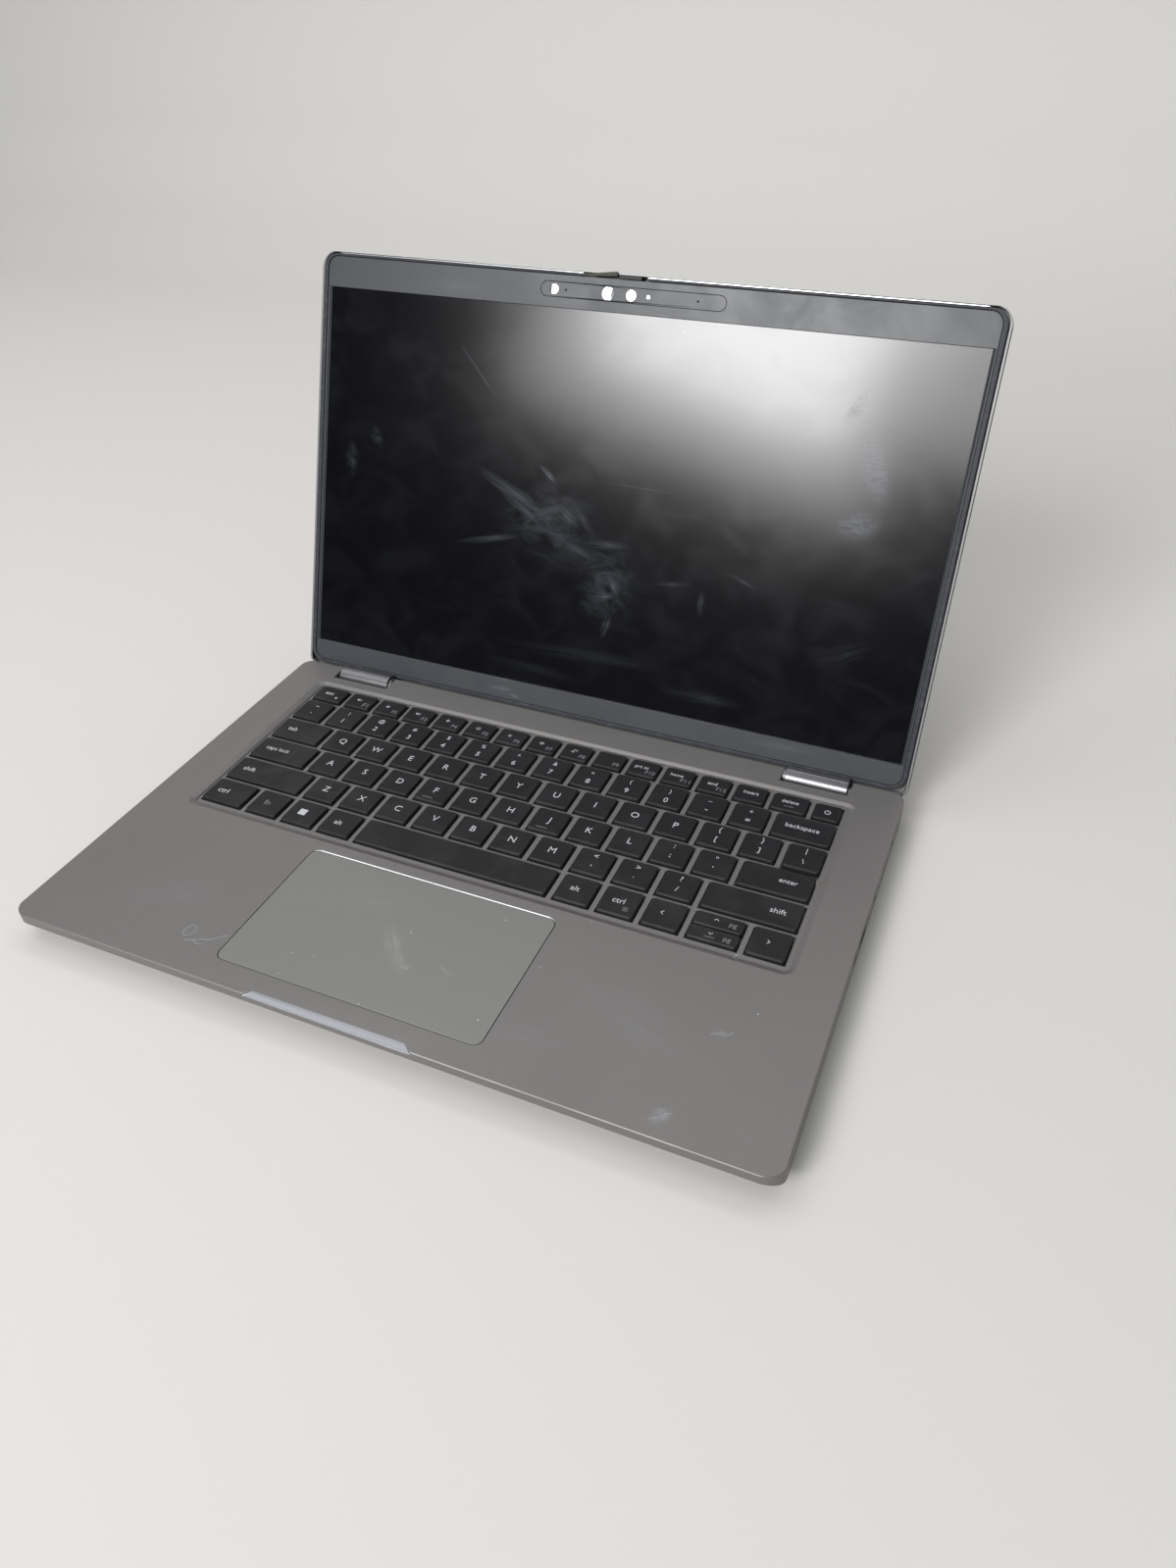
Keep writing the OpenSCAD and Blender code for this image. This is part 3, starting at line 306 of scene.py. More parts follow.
def trimFinish():
    look = {"colour": (0.026, 0.028, 0.033), "dusty": (0.055, 0.058, 0.064), "stain": (0.045, 0.041, 0.030)}
    material, tree, shader = newFinish("trimRubber", 0.6, **{"Specular IOR Level": 0.25})
    spot = lidSpot(tree)
    wear = spread(tree, grain(tree, spot, 0.5, 5, 0.7, (0.3, 1, 1)), 0.48, 0.72)
    colour = tint(tree, wear, look["colour"], look["dusty"])
    stain, _ = patch(tree, spot, -13, 206.4, 12, 4, 4, 0.6)
    colour = tint(tree, sums(tree, "MULTIPLY", stain, 0.85), colour, look["stain"])
    feed(tree, shader, Base_Color=colour, Roughness=spread(tree, wear, 0, 1, 0.5, 0.65))
    bumps(tree, shader, grain(tree, spot, 1.6, 4, 0.7), 0.5, 0.00008)
    return material


def lidFinish():
    look = {"colour": (0.185, 0.183, 0.181), "light": (0.24, 0.238, 0.235), "scuff": (0.32, 0.32, 0.315)}
    material, tree, shader = newFinish("lidGrey", 0.4, 0.35)
    spot = lidSpot(tree)
    flake = grain(tree, spot, 3.4, 2, 0.7)
    colour = tint(tree, spread(tree, flake, 0.5, 0.7), look["colour"], look["light"])
    lines = spread(tree, grain(tree, spot, 0.06, 8, 0.8, (1, 0.12, 1), 1.2), 0.66, 0.72)
    colour = tint(tree, sums(tree, "MULTIPLY", lines, 0.35), colour, look["scuff"])
    feed(tree, shader, Base_Color=colour,
         Roughness=spread(tree, grain(tree, spot, 0.02, 4, 0.6), 0.3, 0.7, 0.36, 0.48))
    bumps(tree, shader, grain(tree, spot, 2.6, 3), 0.25, 0.00004)
    return material


def screenFinish():
    look = {"black": (0.0009, 0.0010, 0.0018), "grease": (0.060, 0.066, 0.084), "speck": (0.30, 0.31, 0.34)}
    material, tree, shader = newFinish("screenGlass", 0.16, 0.0, IOR=1.5)
    spot = lidSpot(tree)
    streaks = [  # x, y, half length, half width, turn, strength, fibres
        (-48, 107, 27, 4.2, -24, 0.85, 13), (-42, 100, 21, 3.0, -29, 0.8, 10),
        (-58, 84, 23, 2.4, 13, 0.7, 8), (-34, 92, 22, 4.0, 8, 0.45, 9),
        (-14, 86, 23, 3.4, -17, 0.65, 9), (2, 90, 18, 3.0, 4, 0.55, 7),
        (-20, 101, 13, 5.0, -32, 0.6, 6), (-30, 99, 9, 9.0, 0, 0.4, 4), (-12, 101, 16, 3.6, -46, 0.4, 8),
        (8, 72, 9, 3.4, -52, 1.0, 4), (4, 66, 10, 2.6, 12, 0.9, 4),
        (7, 52, 8, 3.5, 80, 0.55, 3), (-31, 118, 8, 2.2, -35, 0.9, 3),
        (52, 71, 8, 2.6, 95, 0.45, 4), (36, 77, 12, 1.8, 10, 0.4, 4),
        (70, 84, 12, 1.6, -18, 0.4, 4), (-140, 112, 5, 12, 0, 0.35, 3),
        (-126, 124, 5, 8, 20, 0.3, 3), (60, 27, 26, 4.0, 0, 0.3, 6),
        (0, 36, 60, 5.0, 2, 0.22, 8), (-30, 24, 40, 4.0, -2, 0.18, 8),
        (120, 60, 20, 8, 30, 0.16, 4), (-2, 78, 60, 8, -6, 0.16, 8),
    ]
    wipes = most(tree, [wipe(tree, spot, *s) for s in streaks])
    veil = sums(tree, "MULTIPLY", most(tree, [patch(tree, spot, -27, 96, 36, 24, -12, 0.0)[0],
                                              patch(tree, spot, 5, 72, 22, 26, 10, 0.0)[0]]),
                spread(tree, grain(tree, spot, 0.07, 5, 0.6, (1, 1.6, 1), 1.2), 0.36, 0.72, 0.0, 0.5))
    palm = sums(tree, "MULTIPLY",
                most(tree, [patch(tree, spot, 118, 140, 8, 21, 22, 0.2)[0],
                            patch(tree, spot, 116, 116, 13, 8, 10, 0.2)[0],
                            patch(tree, spot, 107, 164, 4, 11, -25, 0.2)[0]]),
                spread(tree, grain(tree, spot, 0.5, 5, 0.7, (0.35, 2.2, 1), 0.6), 0.38, 0.66, 0.25, 1.0))
    scratch = most(tree, [patch(tree, spot, -72, 160, 22, 0.5, -46, 0.3)[0],
                          patch(tree, spot, 16, 118, 24, 0.35, -1, 0.3)[0]])
    mottle = spread(tree, grain(tree, spot, 0.04, 4, 0.55, (1, 1.3, 1), 0.7), 0.35, 0.75)
    specks = dust(tree, spot, 0.05, 0.34, 0.3)
    film = most(tree, [wipes, veil, sums(tree, "MULTIPLY", palm, 0.55), sums(tree, "MULTIPLY", scratch, 0.35),
                       sums(tree, "MULTIPLY", mottle, 0.03)])
    colour = tint(tree, film, look["black"], look["grease"])
    colour = tint(tree, sums(tree, "MULTIPLY", specks, 0.6), colour, look["speck"])
    blots = most(tree, [patch(tree, spot, 129, 131, 3.2, 2.4, 20, 0.5)[0],
                        patch(tree, spot, 22, 103, 1.6, 1.2, 0, 0.5)[0],
                        patch(tree, spot, -22, 112, 5.0, 4.0, 0, 0.5)[0]])
    rough = sums(tree, "ADD", spread(tree, mottle, 0, 1, 0.152, 0.172), sums(tree, "MULTIPLY", palm, 0.10))
    feed(tree, shader, Base_Color=tint(tree, blots, colour, look["black"]),
         Roughness=sums(tree, "ADD", rough, sums(tree, "MULTIPLY", wipes, 0.12)))
    bumps(tree, shader, grain(tree, spot, 2.5, 2), 0.06, 0.00002)
    return material


def plainFinish(name, colour, roughness, metallic=0.0, scale=1.2, vary=0.25, strength=0.3, height=0.00005):
    material, tree, shader = newFinish(name, roughness, metallic)
    spot = deckSpot(tree)
    cloud = grain(tree, spot, scale, 5, 0.65)
    feed(tree, shader,
         Base_Color=tint(tree, spread(tree, cloud, 0.35, 0.65), [c * (1 - vary) for c in colour],
                         [min(1, c * (1 + vary)) for c in colour]),
         Roughness=spread(tree, cloud, 0.3, 0.7, max(0.03, roughness - 0.06), roughness + 0.08))
    bumps(tree, shader, cloud, strength, height)
    return material


def lensFinish():
    # painted reflection: the lens glass is coloured pale grey for the window's reflection in it
    look = {"light": (0.50, 0.51, 0.53), "haze": (0.40, 0.41, 0.43), "dark": (0.03, 0.032, 0.04)}
    material, tree, shader = newFinish("lensGlass", 0.28, 0.6)
    spot = lidSpot(tree)
    haze = grain(tree, spot, 0.7, 4, 0.6)
    colour = tint(tree, spread(tree, haze, 0.4, 0.7), look["light"], look["haze"])
    # painted shade: dark crescents on the two round windows
    crescentShades = most(tree, [patch(tree, spot, -7.2, 198.3, 2.2, 4, 0, 0.85)[0],
                            patch(tree, spot, -39.2, 198.3, 1.4, 4, 0, 0.8)[0]])
    feed(tree, shader, Base_Color=tint(tree, crescentShades, colour, look["dark"]),
         Roughness=spread(tree, haze, 0.4, 0.7, 0.24, 0.32))
    return material


finishes = {
    "case_grey": caseFinish(), "base_shell": shellFinish(), "keycap": keyFinish(), "touchpad": padFinish(),
    "hinge_silver": capFinish(), "bezel": bezelFinish(), "trim_rubber": trimFinish(), "lid_grey": lidFinish(),
    "screen": screenFinish(), "lens_glass": lensFinish(),
    "foot_rubber": plainFinish("footRubber", (0.022, 0.022, 0.022), 0.75, 0, 1.6, 0.4, 0.6, 0.0001),
    "screw_steel": plainFinish("screwSteel", (0.20, 0.20, 0.21), 0.36, 0.9, 2.0),
    "membrane": plainFinish("membraneSilicone", (0.42, 0.42, 0.40), 0.5, 0, 0.6),
    "sheet_steel": plainFinish("sheetSteel", (0.42, 0.42, 0.43), 0.38, 0.9, 0.8),
    "hinge_steel": plainFinish("hingeSteel", (0.16, 0.16, 0.17), 0.42, 0.8, 1.4),
    "circuit": plainFinish("boardGreen", (0.02, 0.09, 0.045), 0.42, 0, 0.9, 0.4),
    "copper": plainFinish("fanCopper", (0.62, 0.30, 0.17), 0.35, 1.0, 0.8),
    "black_plastic": plainFinish("blackPlastic", (0.018, 0.018, 0.019), 0.5, 0, 2.0, 0.3),
    "battery": plainFinish("batteryWrap", (0.022, 0.022, 0.024), 0.45, 0, 0.3, 0.3),
    "cell_steel": plainFinish("cellSteel", (0.62, 0.62, 0.63), 0.25, 1.0, 0.8, 0.1),
    "socket_metal": plainFinish("socketPlate", (0.50, 0.50, 0.52), 0.32, 0.95, 2.0, 0.15),
    "antenna": plainFinish("antennaFoil", (0.60, 0.48, 0.20), 0.35, 1.0, 0.6, 0.15),
}
lipSilver = lipFinish("lipSilver", (0.27, 0.275, 0.30))
# painted highlight: pale silver for the lid shell's bright top edge
rimHighlight = lipFinish("rimHighlight", (0.62, 0.63, 0.65))
# painted highlight: the near-white line along the deck edge behind the touchpad
padEdgeHighlight = plainFinish("padEdgeHighlight", (0.72, 0.72, 0.73), 0.36, 0.1, 1.5, 0.12)
legendWhite = printFinish("legendWhite", (0.44, 0.45, 0.47))
legendDim = printFinish("legendDim", (0.17, 0.17, 0.18))
residuePale = printFinish("residuePale", (0.225, 0.23, 0.245))
slotOf = {p["node"]: p["material_slot"] for p in frame["record"]["subparts"]}
bodyOf = {n: b for b, members in frame["record"]["behaviour"]["bodies"].items() for n in members}
for name, node in nodes.items():
    node.data.materials.clear()
    node.data.materials.append(finishes[slotOf[name]])
print("finishes made")


# helpers for pieces

def finishPiece(shape, name, body, materials, place=None, sharp=50, weighted=True):
    if place is not None:
        bmesh.ops.transform(shape, matrix=place, verts=shape.verts)
    mesh = bpy.data.meshes.new(name)
    for face in shape.faces:
        face.smooth = True
    shape.to_mesh(mesh)
    shape.free()
    for material in materials:
        mesh.materials.append(material)
    mesh.set_sharp_from_angle(angle=math.radians(sharp))
    piece = bpy.data.objects.new(name, mesh)
    bpy.context.scene.collection.objects.link(piece)
    if weighted:
        steady = piece.modifiers.new("steadyNormals", "WEIGHTED_NORMAL")
        steady.keep_sharp = True
    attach(piece, body)
    return piece


# a CAD piece's mesh with its sharp edges eased, so that they catch the light
def easedShape(node, ease, segments):
    sharpFrom, flatTo, merge = math.radians(28), math.radians(0.5), 0.000002
    shape = bmesh.new()
    shape.from_mesh(nodes[node].data)
    bmesh.ops.remove_doubles(shape, verts=shape.verts, dist=merge)
    bmesh.ops.dissolve_limit(shape, angle_limit=flatTo, verts=shape.verts, edges=shape.edges)
    edges = [e for e in shape.edges if e.is_manifold and e.calc_face_angle(0) > sharpFrom]
    if edges:
        bmesh.ops.bevel(shape, geom=edges, offset=ease * mm, offset_type="OFFSET", segments=segments,
                        affect="EDGES", profile=0.5, material=-1, clamp_overlap=False)
    return shape


# paint says which of the extra materials a face takes, and shift moves each point
def easedCopy(node, ease, segments, extra=(), paint=None, shift=None):
    shape = easedShape(node, ease, segments)
    if paint:
        for face in shape.faces:
            face.material_index = paint(face.calc_center_median(), face.normal)
    if shift:
        for vert in shape.verts:
            vert.co = shift(vert.co)
    piece = finishPiece(shape, node + "_eased", bodyOf[node],
                        [finishes[slotOf[node]], *extra])
    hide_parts(node)


# how far a value is from low to high, held between 0 and 1
def held(value, low, high):
    return min(1, max(0, (value - low) / (high - low)))


deckLook = {"padX": -9.5, "ease": 0.14,
            "lipHalf": 38, "lipBack": 2.9, "lipLow": -1.9, "lipHigh": -0.02,  # thumb chamfer
            # the edge values bound the painted highlight behind the touchpad
            "edgeHalf": 57, "edgeFront": 78, "edgeBack": 79.6, "edgeLow": -0.7, "edgeHigh": -0.005,
            "slopeX": -9.46, "slopeHalf": 54.3, "slopeFront": 78.65, "slopeBack": 79.05, "slope": 0.36,
            "wellHalf": 140.5, "wellFront": 85.7, "wellBack": 193.9, "wellDeep": 1.2, "corner": 4, "near": 0.3,
            "wellSide": 1.2, "wellAhead": 1.5}  # how much the well's slope widens


def paintDeck(point, normal):  # 1: silver thumb chamfer in the front edge, 2: edge behind the touchpad, coloured near white as a painted highlight
    p = deckInverse @ point
    x, look = abs(p.x - deckLook["padX"]), deckLook
    inLip = x < look["lipHalf"] and p.y < look["lipBack"] and look["lipLow"] < p.z < look["lipHigh"]
    behindPad = x < look["edgeHalf"] and look["edgeFront"] < p.y < look["edgeBack"]
    if inLip and normal.z > 0.3:
        return 1
    return 2 if behindPad and look["edgeLow"] < p.z < look["edgeHigh"] and normal.z > 0.1 else 0


def openDeck(point):  # wider slopes round the keyboard's well and along the touchpad's rear edge
    p = deckInverse @ point
    x, look = abs(p.x), deckLook
    behindPad = abs(p.x - look["slopeX"]) < look["slopeHalf"] and look["slopeFront"] < p.y < look["slopeBack"]
    if behindPad and p.z > -look["ease"]:
        p.y += look["slope"] * (1 + p.z / look["ease"])
    elif x <= look["wellHalf"] + look["near"] and look["wellFront"] - look["near"] < p.y < look["wellBack"]:
        high = held(p.z, -look["wellDeep"], 0)
        aside = held(x, look["wellHalf"] - look["corner"], look["wellHalf"])
        ahead = held(-p.y, -look["wellFront"] - look["corner"], -look["wellFront"])
        p.x += math.copysign(look["wellSide"] * aside * high, p.x)
        p.y -= look["wellAhead"] * ahead * high
    else:
        return point
    return deckPlace @ p


def paintLid(point, normal):  # 1: the shell's sides, given the rubber's dark finish as painted shade
    look = {"half": 158.9, "top": 199, "back": -8.6}
    p = lidInverse @ point
    return int(abs(p.x) > look["half"] and p.y < look["top"] and p.z > look["back"])


easedPieces = {  # node: ease in millimetres, segments
    "bottom_cover": (0.16, 2), "front_feet": (0.35, 3), "rear_foot": (0.35, 3), "bottom_screws": (0.08, 1),
    "touchpad_plate": (0.2, 3), "hinge_cap_left": (0.28, 3),
    "hinge_cap_right": (0.28, 3), "hinge_bracket_left": (0.1, 1), "hinge_bracket_right": (0.1, 1),
    "usb_a_ports": (0.08, 2), "usb_c_ports": (0.08, 2), "video_port": (0.08, 2), "network_port": (0.1, 2),
    "audio_jack": (0.1, 2), "card_reader": (0.08, 2), "display_bezel": (0.12, 2),
    "camera_cover": (0.1, 2), "camera_lens": (0.12, 2), "infrared_lens": (0.12, 2), "infrared_lamp": (0.1, 2),
    "camera_light": (0.08, 2), "camera_shutter": (0.07, 2),
}
easedCopy("palmrest_cover", deckLook["ease"], 2, [lipSilver, padEdgeHighlight], paintDeck, openDeck)
# the lid shell's sides take the dark rubber finish as painted shade
easedCopy("lid_back_cover", 0.2, 3, [finishes["trim_rubber"]], paintLid)
for name, (ease, segments) in easedPieces.items():
    easedCopy(name, ease, segments)
print("edges eased")


# rubber trim, with its torn ends

def tornTrim():
    look = {"ease": 0.42, "rag": 0.22, "lower": 0.5, "lowerFrom": 205, "lowerTo": 205.7,
            "lifted": -22.5, "bare": 7, "ragFrom": 198, "leftEnd": (-7.6, -5.5), "rightEnd": (6.6, 8.2)}
    shape = easedShape("lid_edge_trim", look["ease"], 3)
    for vert in shape.verts:
        p = lidInverse @ vert.co
        if p.x < look["lifted"] or p.x > look["bare"]:  # lowered, so that the shell's rim shows above it
            p.y -= look["lower"] * held(p.y, look["lowerFrom"], look["lowerTo"])
            vert.co = lidPlace @ p
        if p.y > look["ragFrom"] and any(low < p.x < high for low, high in (look["leftEnd"], look["rightEnd"])):
            push = Vector([random.uniform(-1, 1) * look["rag"] for _ in range(3)])
            vert.co = lidPlace @ (p + push)
    piece = finishPiece(shape, "lid_edge_trim_torn", "lid", [finishes["trim_rubber"]])
    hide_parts("lid_edge_trim")


def shellRim():  # edge of the lid's shell, seen above the rubber, coloured pale silver as a painted highlight
    look = {"top": 206.62, "thick": 0.9, "z": -4.62, "ease": 0.14,
            "runs": [(-150.5, -23.4, 205.72), (-23.4, 7.2, 206.2), (7.2, 150.5, 205.72)]}  # x, x, foot
    shape = bmesh.new()
    for x0, x1, foot in look["runs"]:
        cube = bmesh.ops.create_cube(shape, size=1)["verts"]
        bmesh.ops.scale(shape, vec=(x1 - x0, look["top"] - foot, look["thick"]), verts=cube)
        bmesh.ops.translate(shape, vec=((x0 + x1) / 2, (look["top"] + foot) / 2, look["z"]), verts=cube)
    edges = [e for e in shape.edges if abs(e.verts[0].co.x - e.verts[1].co.x) > 1]
    bmesh.ops.bevel(shape, geom=edges, offset=look["ease"], offset_type="OFFSET", segments=3, affect="EDGES",
                    profile=0.5, material=-1)
    finishPiece(shape, "lid_shell_rim", "lid", [rimHighlight], lidPlace, 40)


def tornTuft():  # ragged rubber and glue left on the lifted end
    look = {"at": (-7.0, 206.25, -4.15), "size": (0.6, 0.85, 0.68), "lumps": 0.14}
    shape = bmesh.new()
    bmesh.ops.create_icosphere(shape, subdivisions=3, radius=1)
    for vert in shape.verts:
        wave = math.sin(vert.co.x * 7 + 1) * math.sin(vert.co.y * 9) + 0.6 * math.sin(vert.co.z * 13 + 2)
        vert.co *= 1 + look["lumps"] * wave
    bmesh.ops.scale(shape, vec=look["size"], verts=shape.verts)
    bmesh.ops.translate(shape, vec=look["at"], verts=shape.verts)
    finishPiece(shape, "trim_torn_end", "lid", [finishes["black_plastic"]], lidPlace, 60,
                False)


tornTrim()
shellRim()
tornTuft()
print("trim torn")


# keycaps

keyLook = {"pitch": 19.05, "gap": 3.05, "depth": 15.2, "fDepth": 11.3, "fGap": 2.75, "arrowGap": 0.5,
           "board": 273.8, "left": -136.9, "low": -2.6, "skirt": -0.62, "edge": -0.12,
           "edgeKey": 26.15, "caps": 30.5, "shift": 40, "ctrl": 21.4, "space": 92.05, "upDown": 20.9,
           "esc": 16.3, "fKey": 14.45, "delete": 16.3, "power": 12.1, "powerShort": 0.6,
           "front": {"bottom": 90.3, "lower": 108.05, "home": 125.8, "upper": 143.55, "number": 161.3,
                     "function": 178.7}}


def keySpans(widths, gap=keyLook["gap"]):
    x, spans = keyLook["left"], []
    for width in widths:
        spans.append((x, width))
        x += width + gap
    return spans


def lastKey(first, count):  # what a row's first key and its standard keys leave for its last one
    return keyLook["board"] - first - count * keyLook["pitch"] - keyLook["gap"]


std = keyLook["pitch"] - keyLook["gap"]
caps, shift, edgeKey = keyLook["caps"], keyLook["shift"], keyLook["edgeKey"]
rows = {
    "number": keySpans([std] * 13 + [edgeKey]),
    "upper": keySpans([edgeKey] + [std] * 13),
    "home": keySpans([caps] + [std] * 11 + [lastKey(caps, 11)]),
    "lower": keySpans([shift] + [std] * 10 + [lastKey(shift, 10)]),
    "bottom": keySpans([keyLook["ctrl"], std, std, std, keyLook["space"], std, std, std,
                        keyLook["upDown"], std]),
    "function": keySpans([keyLook["esc"]] + [keyLook["fKey"]] * 13 + [keyLook["delete"], keyLook["power"]],
                         keyLook["fGap"]),
}
rowFront = keyLook["front"]
halfKey = (keyLook["depth"] - keyLook["arrowGap"]) / 2
keyNodes = {  # node: row, first key, last key
    "function_keys": [("function", 0, 14)], "power_button": [("function", 15, 15)],
    "number_keys": [("number", 0, 12)], "backspace_key": [("number", 13, 13)],
    "upper_letter_keys": [("upper", 0, 13)], "home_letter_keys": [("home", 0, 11)],
    "enter_key": [("home", 12, 12)], "lower_letter_keys": [("lower", 1, 10)],
    "left_shift_key": [("lower", 0, 0)], "right_shift_key": [("lower", 11, 11)],
    "modifier_keys": [("bottom", 0, 3), ("bottom", 5, 6)], "space_bar": [("bottom", 4, 4)],
    "arrow_keys": [("bottom", 7, 7), ("bottom", 9, 9)],
}


# one cap, built from rounded rings: drafted walls, a wide front chamfer and a slight dish
def keycap(target, x0, y0, width, depth):
    low, skirt, edge = keyLook["low"], keyLook["skirt"], keyLook["edge"]
    rings = [  # inset, corner radius, z, how much further back the front edge sits
        (0.0, 1.3, low, 0.0), (0.16, 1.25, skirt, 0.0), (0.34, 1.15, edge - 0.08, 0.3),
        (0.5, 1.05, edge, 0.36), (0.8, 0.95, edge - 0.03, 0.36), (1.6, 0.8, edge - 0.06, 0.3),
        (2.8, 0.6, edge - 0.075, 0.2)]
    quarter = 6  # points in each rounded corner
    loops = []
    for inset, radius, z, back in rings:
        left, right = x0 + inset, x0 + width - inset
        front, rear = y0 + inset + back, y0 + depth - inset
        loop = []
        for cx, cy, start in ((right - radius, rear - radius, 0), (left + radius, rear - radius, 90),
                              (left + radius, front + radius, 180), (right - radius, front + radius, 270)):
            for step in range(quarter):
                angle = math.radians(start + 90 / (quarter - 1) * step)
                point = (cx + radius * math.cos(angle), cy + radius * math.sin(angle), z)
                loop.append(target.verts.new(point))
        loops.append(loop)
    target.faces.new(list(reversed(loops[0])))
    for lower, upper in zip(loops, loops[1:]):
        for k in range(len(lower)):
            n = (k + 1) % len(lower)
            target.faces.new((lower[k], lower[n], upper[n], upper[k]))
    target.faces.new(loops[-1])


for node, runs in keyNodes.items():
    shape = bmesh.new()
    for row, first, last in runs:
        depth = keyLook["fDepth"] if row == "function" else keyLook["depth"]
        for x0, width in rows[row][first:last + 1]:
            short = keyLook["powerShort"] if node == "power_button" else 0
            keycap(shape, x0, rowFront[row], width, depth - short)
    if node == "arrow_keys":
        x0, width = rows["bottom"][8]
        keycap(shape, x0, rowFront["bottom"], width, halfKey)
        keycap(shape, x0, rowFront["bottom"] + keyLook["depth"] - halfKey, width, halfKey)
    piece = finishPiece(shape, node + "_caps", node, [finishes["keycap"]], deckPlace, 40)
    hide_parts(node)
print("keycaps made")


# key legends, all flat and generic

legendLook = {"z": -0.105, "thick": 0.1, "letter": 3.7, "digit": 3.3, "sign": 3.0, "shifted": 2.6}


def curveMesh(name, curve):
    holder = bpy.data.objects.new(name, curve)
    bpy.context.scene.collection.objects.link(holder)
    bpy.context.view_layer.update()
    mesh = bpy.data.meshes.new_from_object(holder.evaluated_get(bpy.context.evaluated_depsgraph_get()))
    bpy.data.objects.remove(holder)
    bpy.data.curves.remove(curve)
    return mesh


# words are set by their height, or by their width where one is given
def wordShape(target, words, x, y, height, width, index):
    capHeight = 0.73  # of the built-in letters at size 1
    curve = bpy.data.curves.new("words", "FONT")
    curve.body = words
    curve.size = 1
    curve.resolution_u = 3
    mesh = curveMesh("words", curve)
    xs = [v.co.x for v in mesh.vertices]
    ys = [v.co.y for v in mesh.vertices]
    scale = width / (max(xs) - min(xs)) if width else height / capHeight
    middle = capHeight / 2 if len(words) > 1 or words.isalnum() else (min(ys) + max(ys)) / 2
    mesh.transform(Matrix.Translation((x, y, legendLook["z"])) @ Matrix.Scale(scale, 4)
                   @ Matrix.Translation((-(min(xs) + max(xs)) / 2, -middle, 0)))
    for polygon in mesh.polygons:
        polygon.material_index = index
    target.from_mesh(mesh)
    bpy.data.meshes.remove(mesh)


# simple marks: bars, dots, arcs and outlines, all flat
def markShape(target, marks, x, y, size, index):
    for kind, *values in marks:
        before = set(target.faces)
        if kind == "bar":
            cx, cy, width, height, turn = values
            verts = bmesh.ops.create_grid(target, x_segments=1, y_segments=1, size=0.5)["verts"]
            bmesh.ops.scale(target, vec=(width, height, 1), verts=verts)
            turned = Matrix.Rotation(math.radians(turn), 3, "Z")
            bmesh.ops.rotate(target, cent=(0, 0, 0), matrix=turned, verts=verts)
        elif kind == "dot":
            cx, cy, radius = values
            verts = bmesh.ops.create_circle(target, cap_ends=True, segments=14, radius=radius)["verts"]
        elif kind == "arc":
            cx, cy, radius, thick, start, end = values
            a, b = target.verts.new((radius - thick / 2, 0, 0)), target.verts.new((radius + thick / 2, 0, 0))
            edge = target.edges.new((a, b))
            turned = Matrix.Rotation(math.radians(start), 3, "Z")
            bmesh.ops.rotate(target, cent=(0, 0, 0), matrix=turned, verts=[a, b])
            bmesh.ops.spin(target, geom=[a, b, edge], axis=(0, 0, 1), cent=(0, 0, 0), dvec=(0, 0, 0),
                           angle=math.radians(end - start), steps=max(4, int(abs(end - start) / 22)),
                           use_merge=False)
            verts = list({v for f in set(target.faces) - before for v in f.verts})
        else:
            cx, cy, points = values
            verts = [target.verts.new((px, py, 0)) for px, py in points]
            target.faces.new(verts)
        bmesh.ops.scale(target, vec=(size, size, 1), verts=verts)
        bmesh.ops.translate(target, vec=(x + cx * size, y + cy * size, legendLook["z"]), verts=verts)
        for face in set(target.faces) - before:
            face.material_index = index


# marks: bar (x, y, width, height, turn), dot (x, y, radius), arc (x, y, radius, thick, start, end)
# and outline (x, y, points)
speaker = [("outline", 0, 0, [(-1.2, -0.4), (-0.7, -0.4), (0, -1.0), (0, 1.0), (-0.7, 0.4), (-1.2, 0.4)])]
wave = [("arc", 0.1, 0, 0.6, 0.22, -50, 50)]
wideWave = wave + [("arc", 0.1, 0, 1.15, 0.22, -50, 50)]
cross = [("bar", 0.9, 0, 1.2, 0.22, 45), ("bar", 0.9, 0, 1.2, 0.22, -45)]
microphone = [("bar", -0.2, 0.45, 0.62, 1.1, 0), ("arc", -0.2, 0.3, 0.75, 0.2, 180, 360),
              ("bar", -0.2, -0.75, 0.2, 0.6, 0)]
smallCross = [("bar", 0.75, 0.1, 0.9, 0.2, 45), ("bar", 0.75, 0.1, 0.9, 0.2, -45)]
eighths = [k * math.pi / 4 for k in range(8)]
fan = [math.radians(k) for k in (20, 55, 90, 125, 160)]
sunSmall = [("dot", 0, 0, 0.42)] + [("dot", 0.9 * math.cos(a), 0.9 * math.sin(a), 0.14) for a in eighths]
sunLarge = [("dot", 0, 0, 0.5)]
sunLarge += [("bar", math.cos(a), math.sin(a), 0.5, 0.2, math.degrees(a)) for a in eighths]
keyLight = [("bar", 0, -0.8, 2.0, 0.35, 0)]
keyLight += [("bar", 1.05 * math.cos(a), 1.05 * math.sin(a) - 0.4, 0.6, 0.2, math.degrees(a)) for a in fan]
screens = [("bar", -0.55, -0.3, 1.5, 0.2, 0), ("bar", -0.55, -1.1, 1.5, 0.2, 0),
           ("bar", -1.2, -0.7, 0.2, 0.9, 0), ("bar", 0.1, -0.7, 0.2, 0.9, 0), ("bar", 0.5, 0.9, 1.7, 0.2, 0),
           ("bar", 1.25, 0.3, 0.2, 1.3, 0), ("bar", -0.25, 0.6, 0.2, 0.8, 0)]
padlock = [("bar", 0, -0.35, 1.3, 1.0, 0), ("arc", 0, 0.15, 0.42, 0.2, 0, 180)]
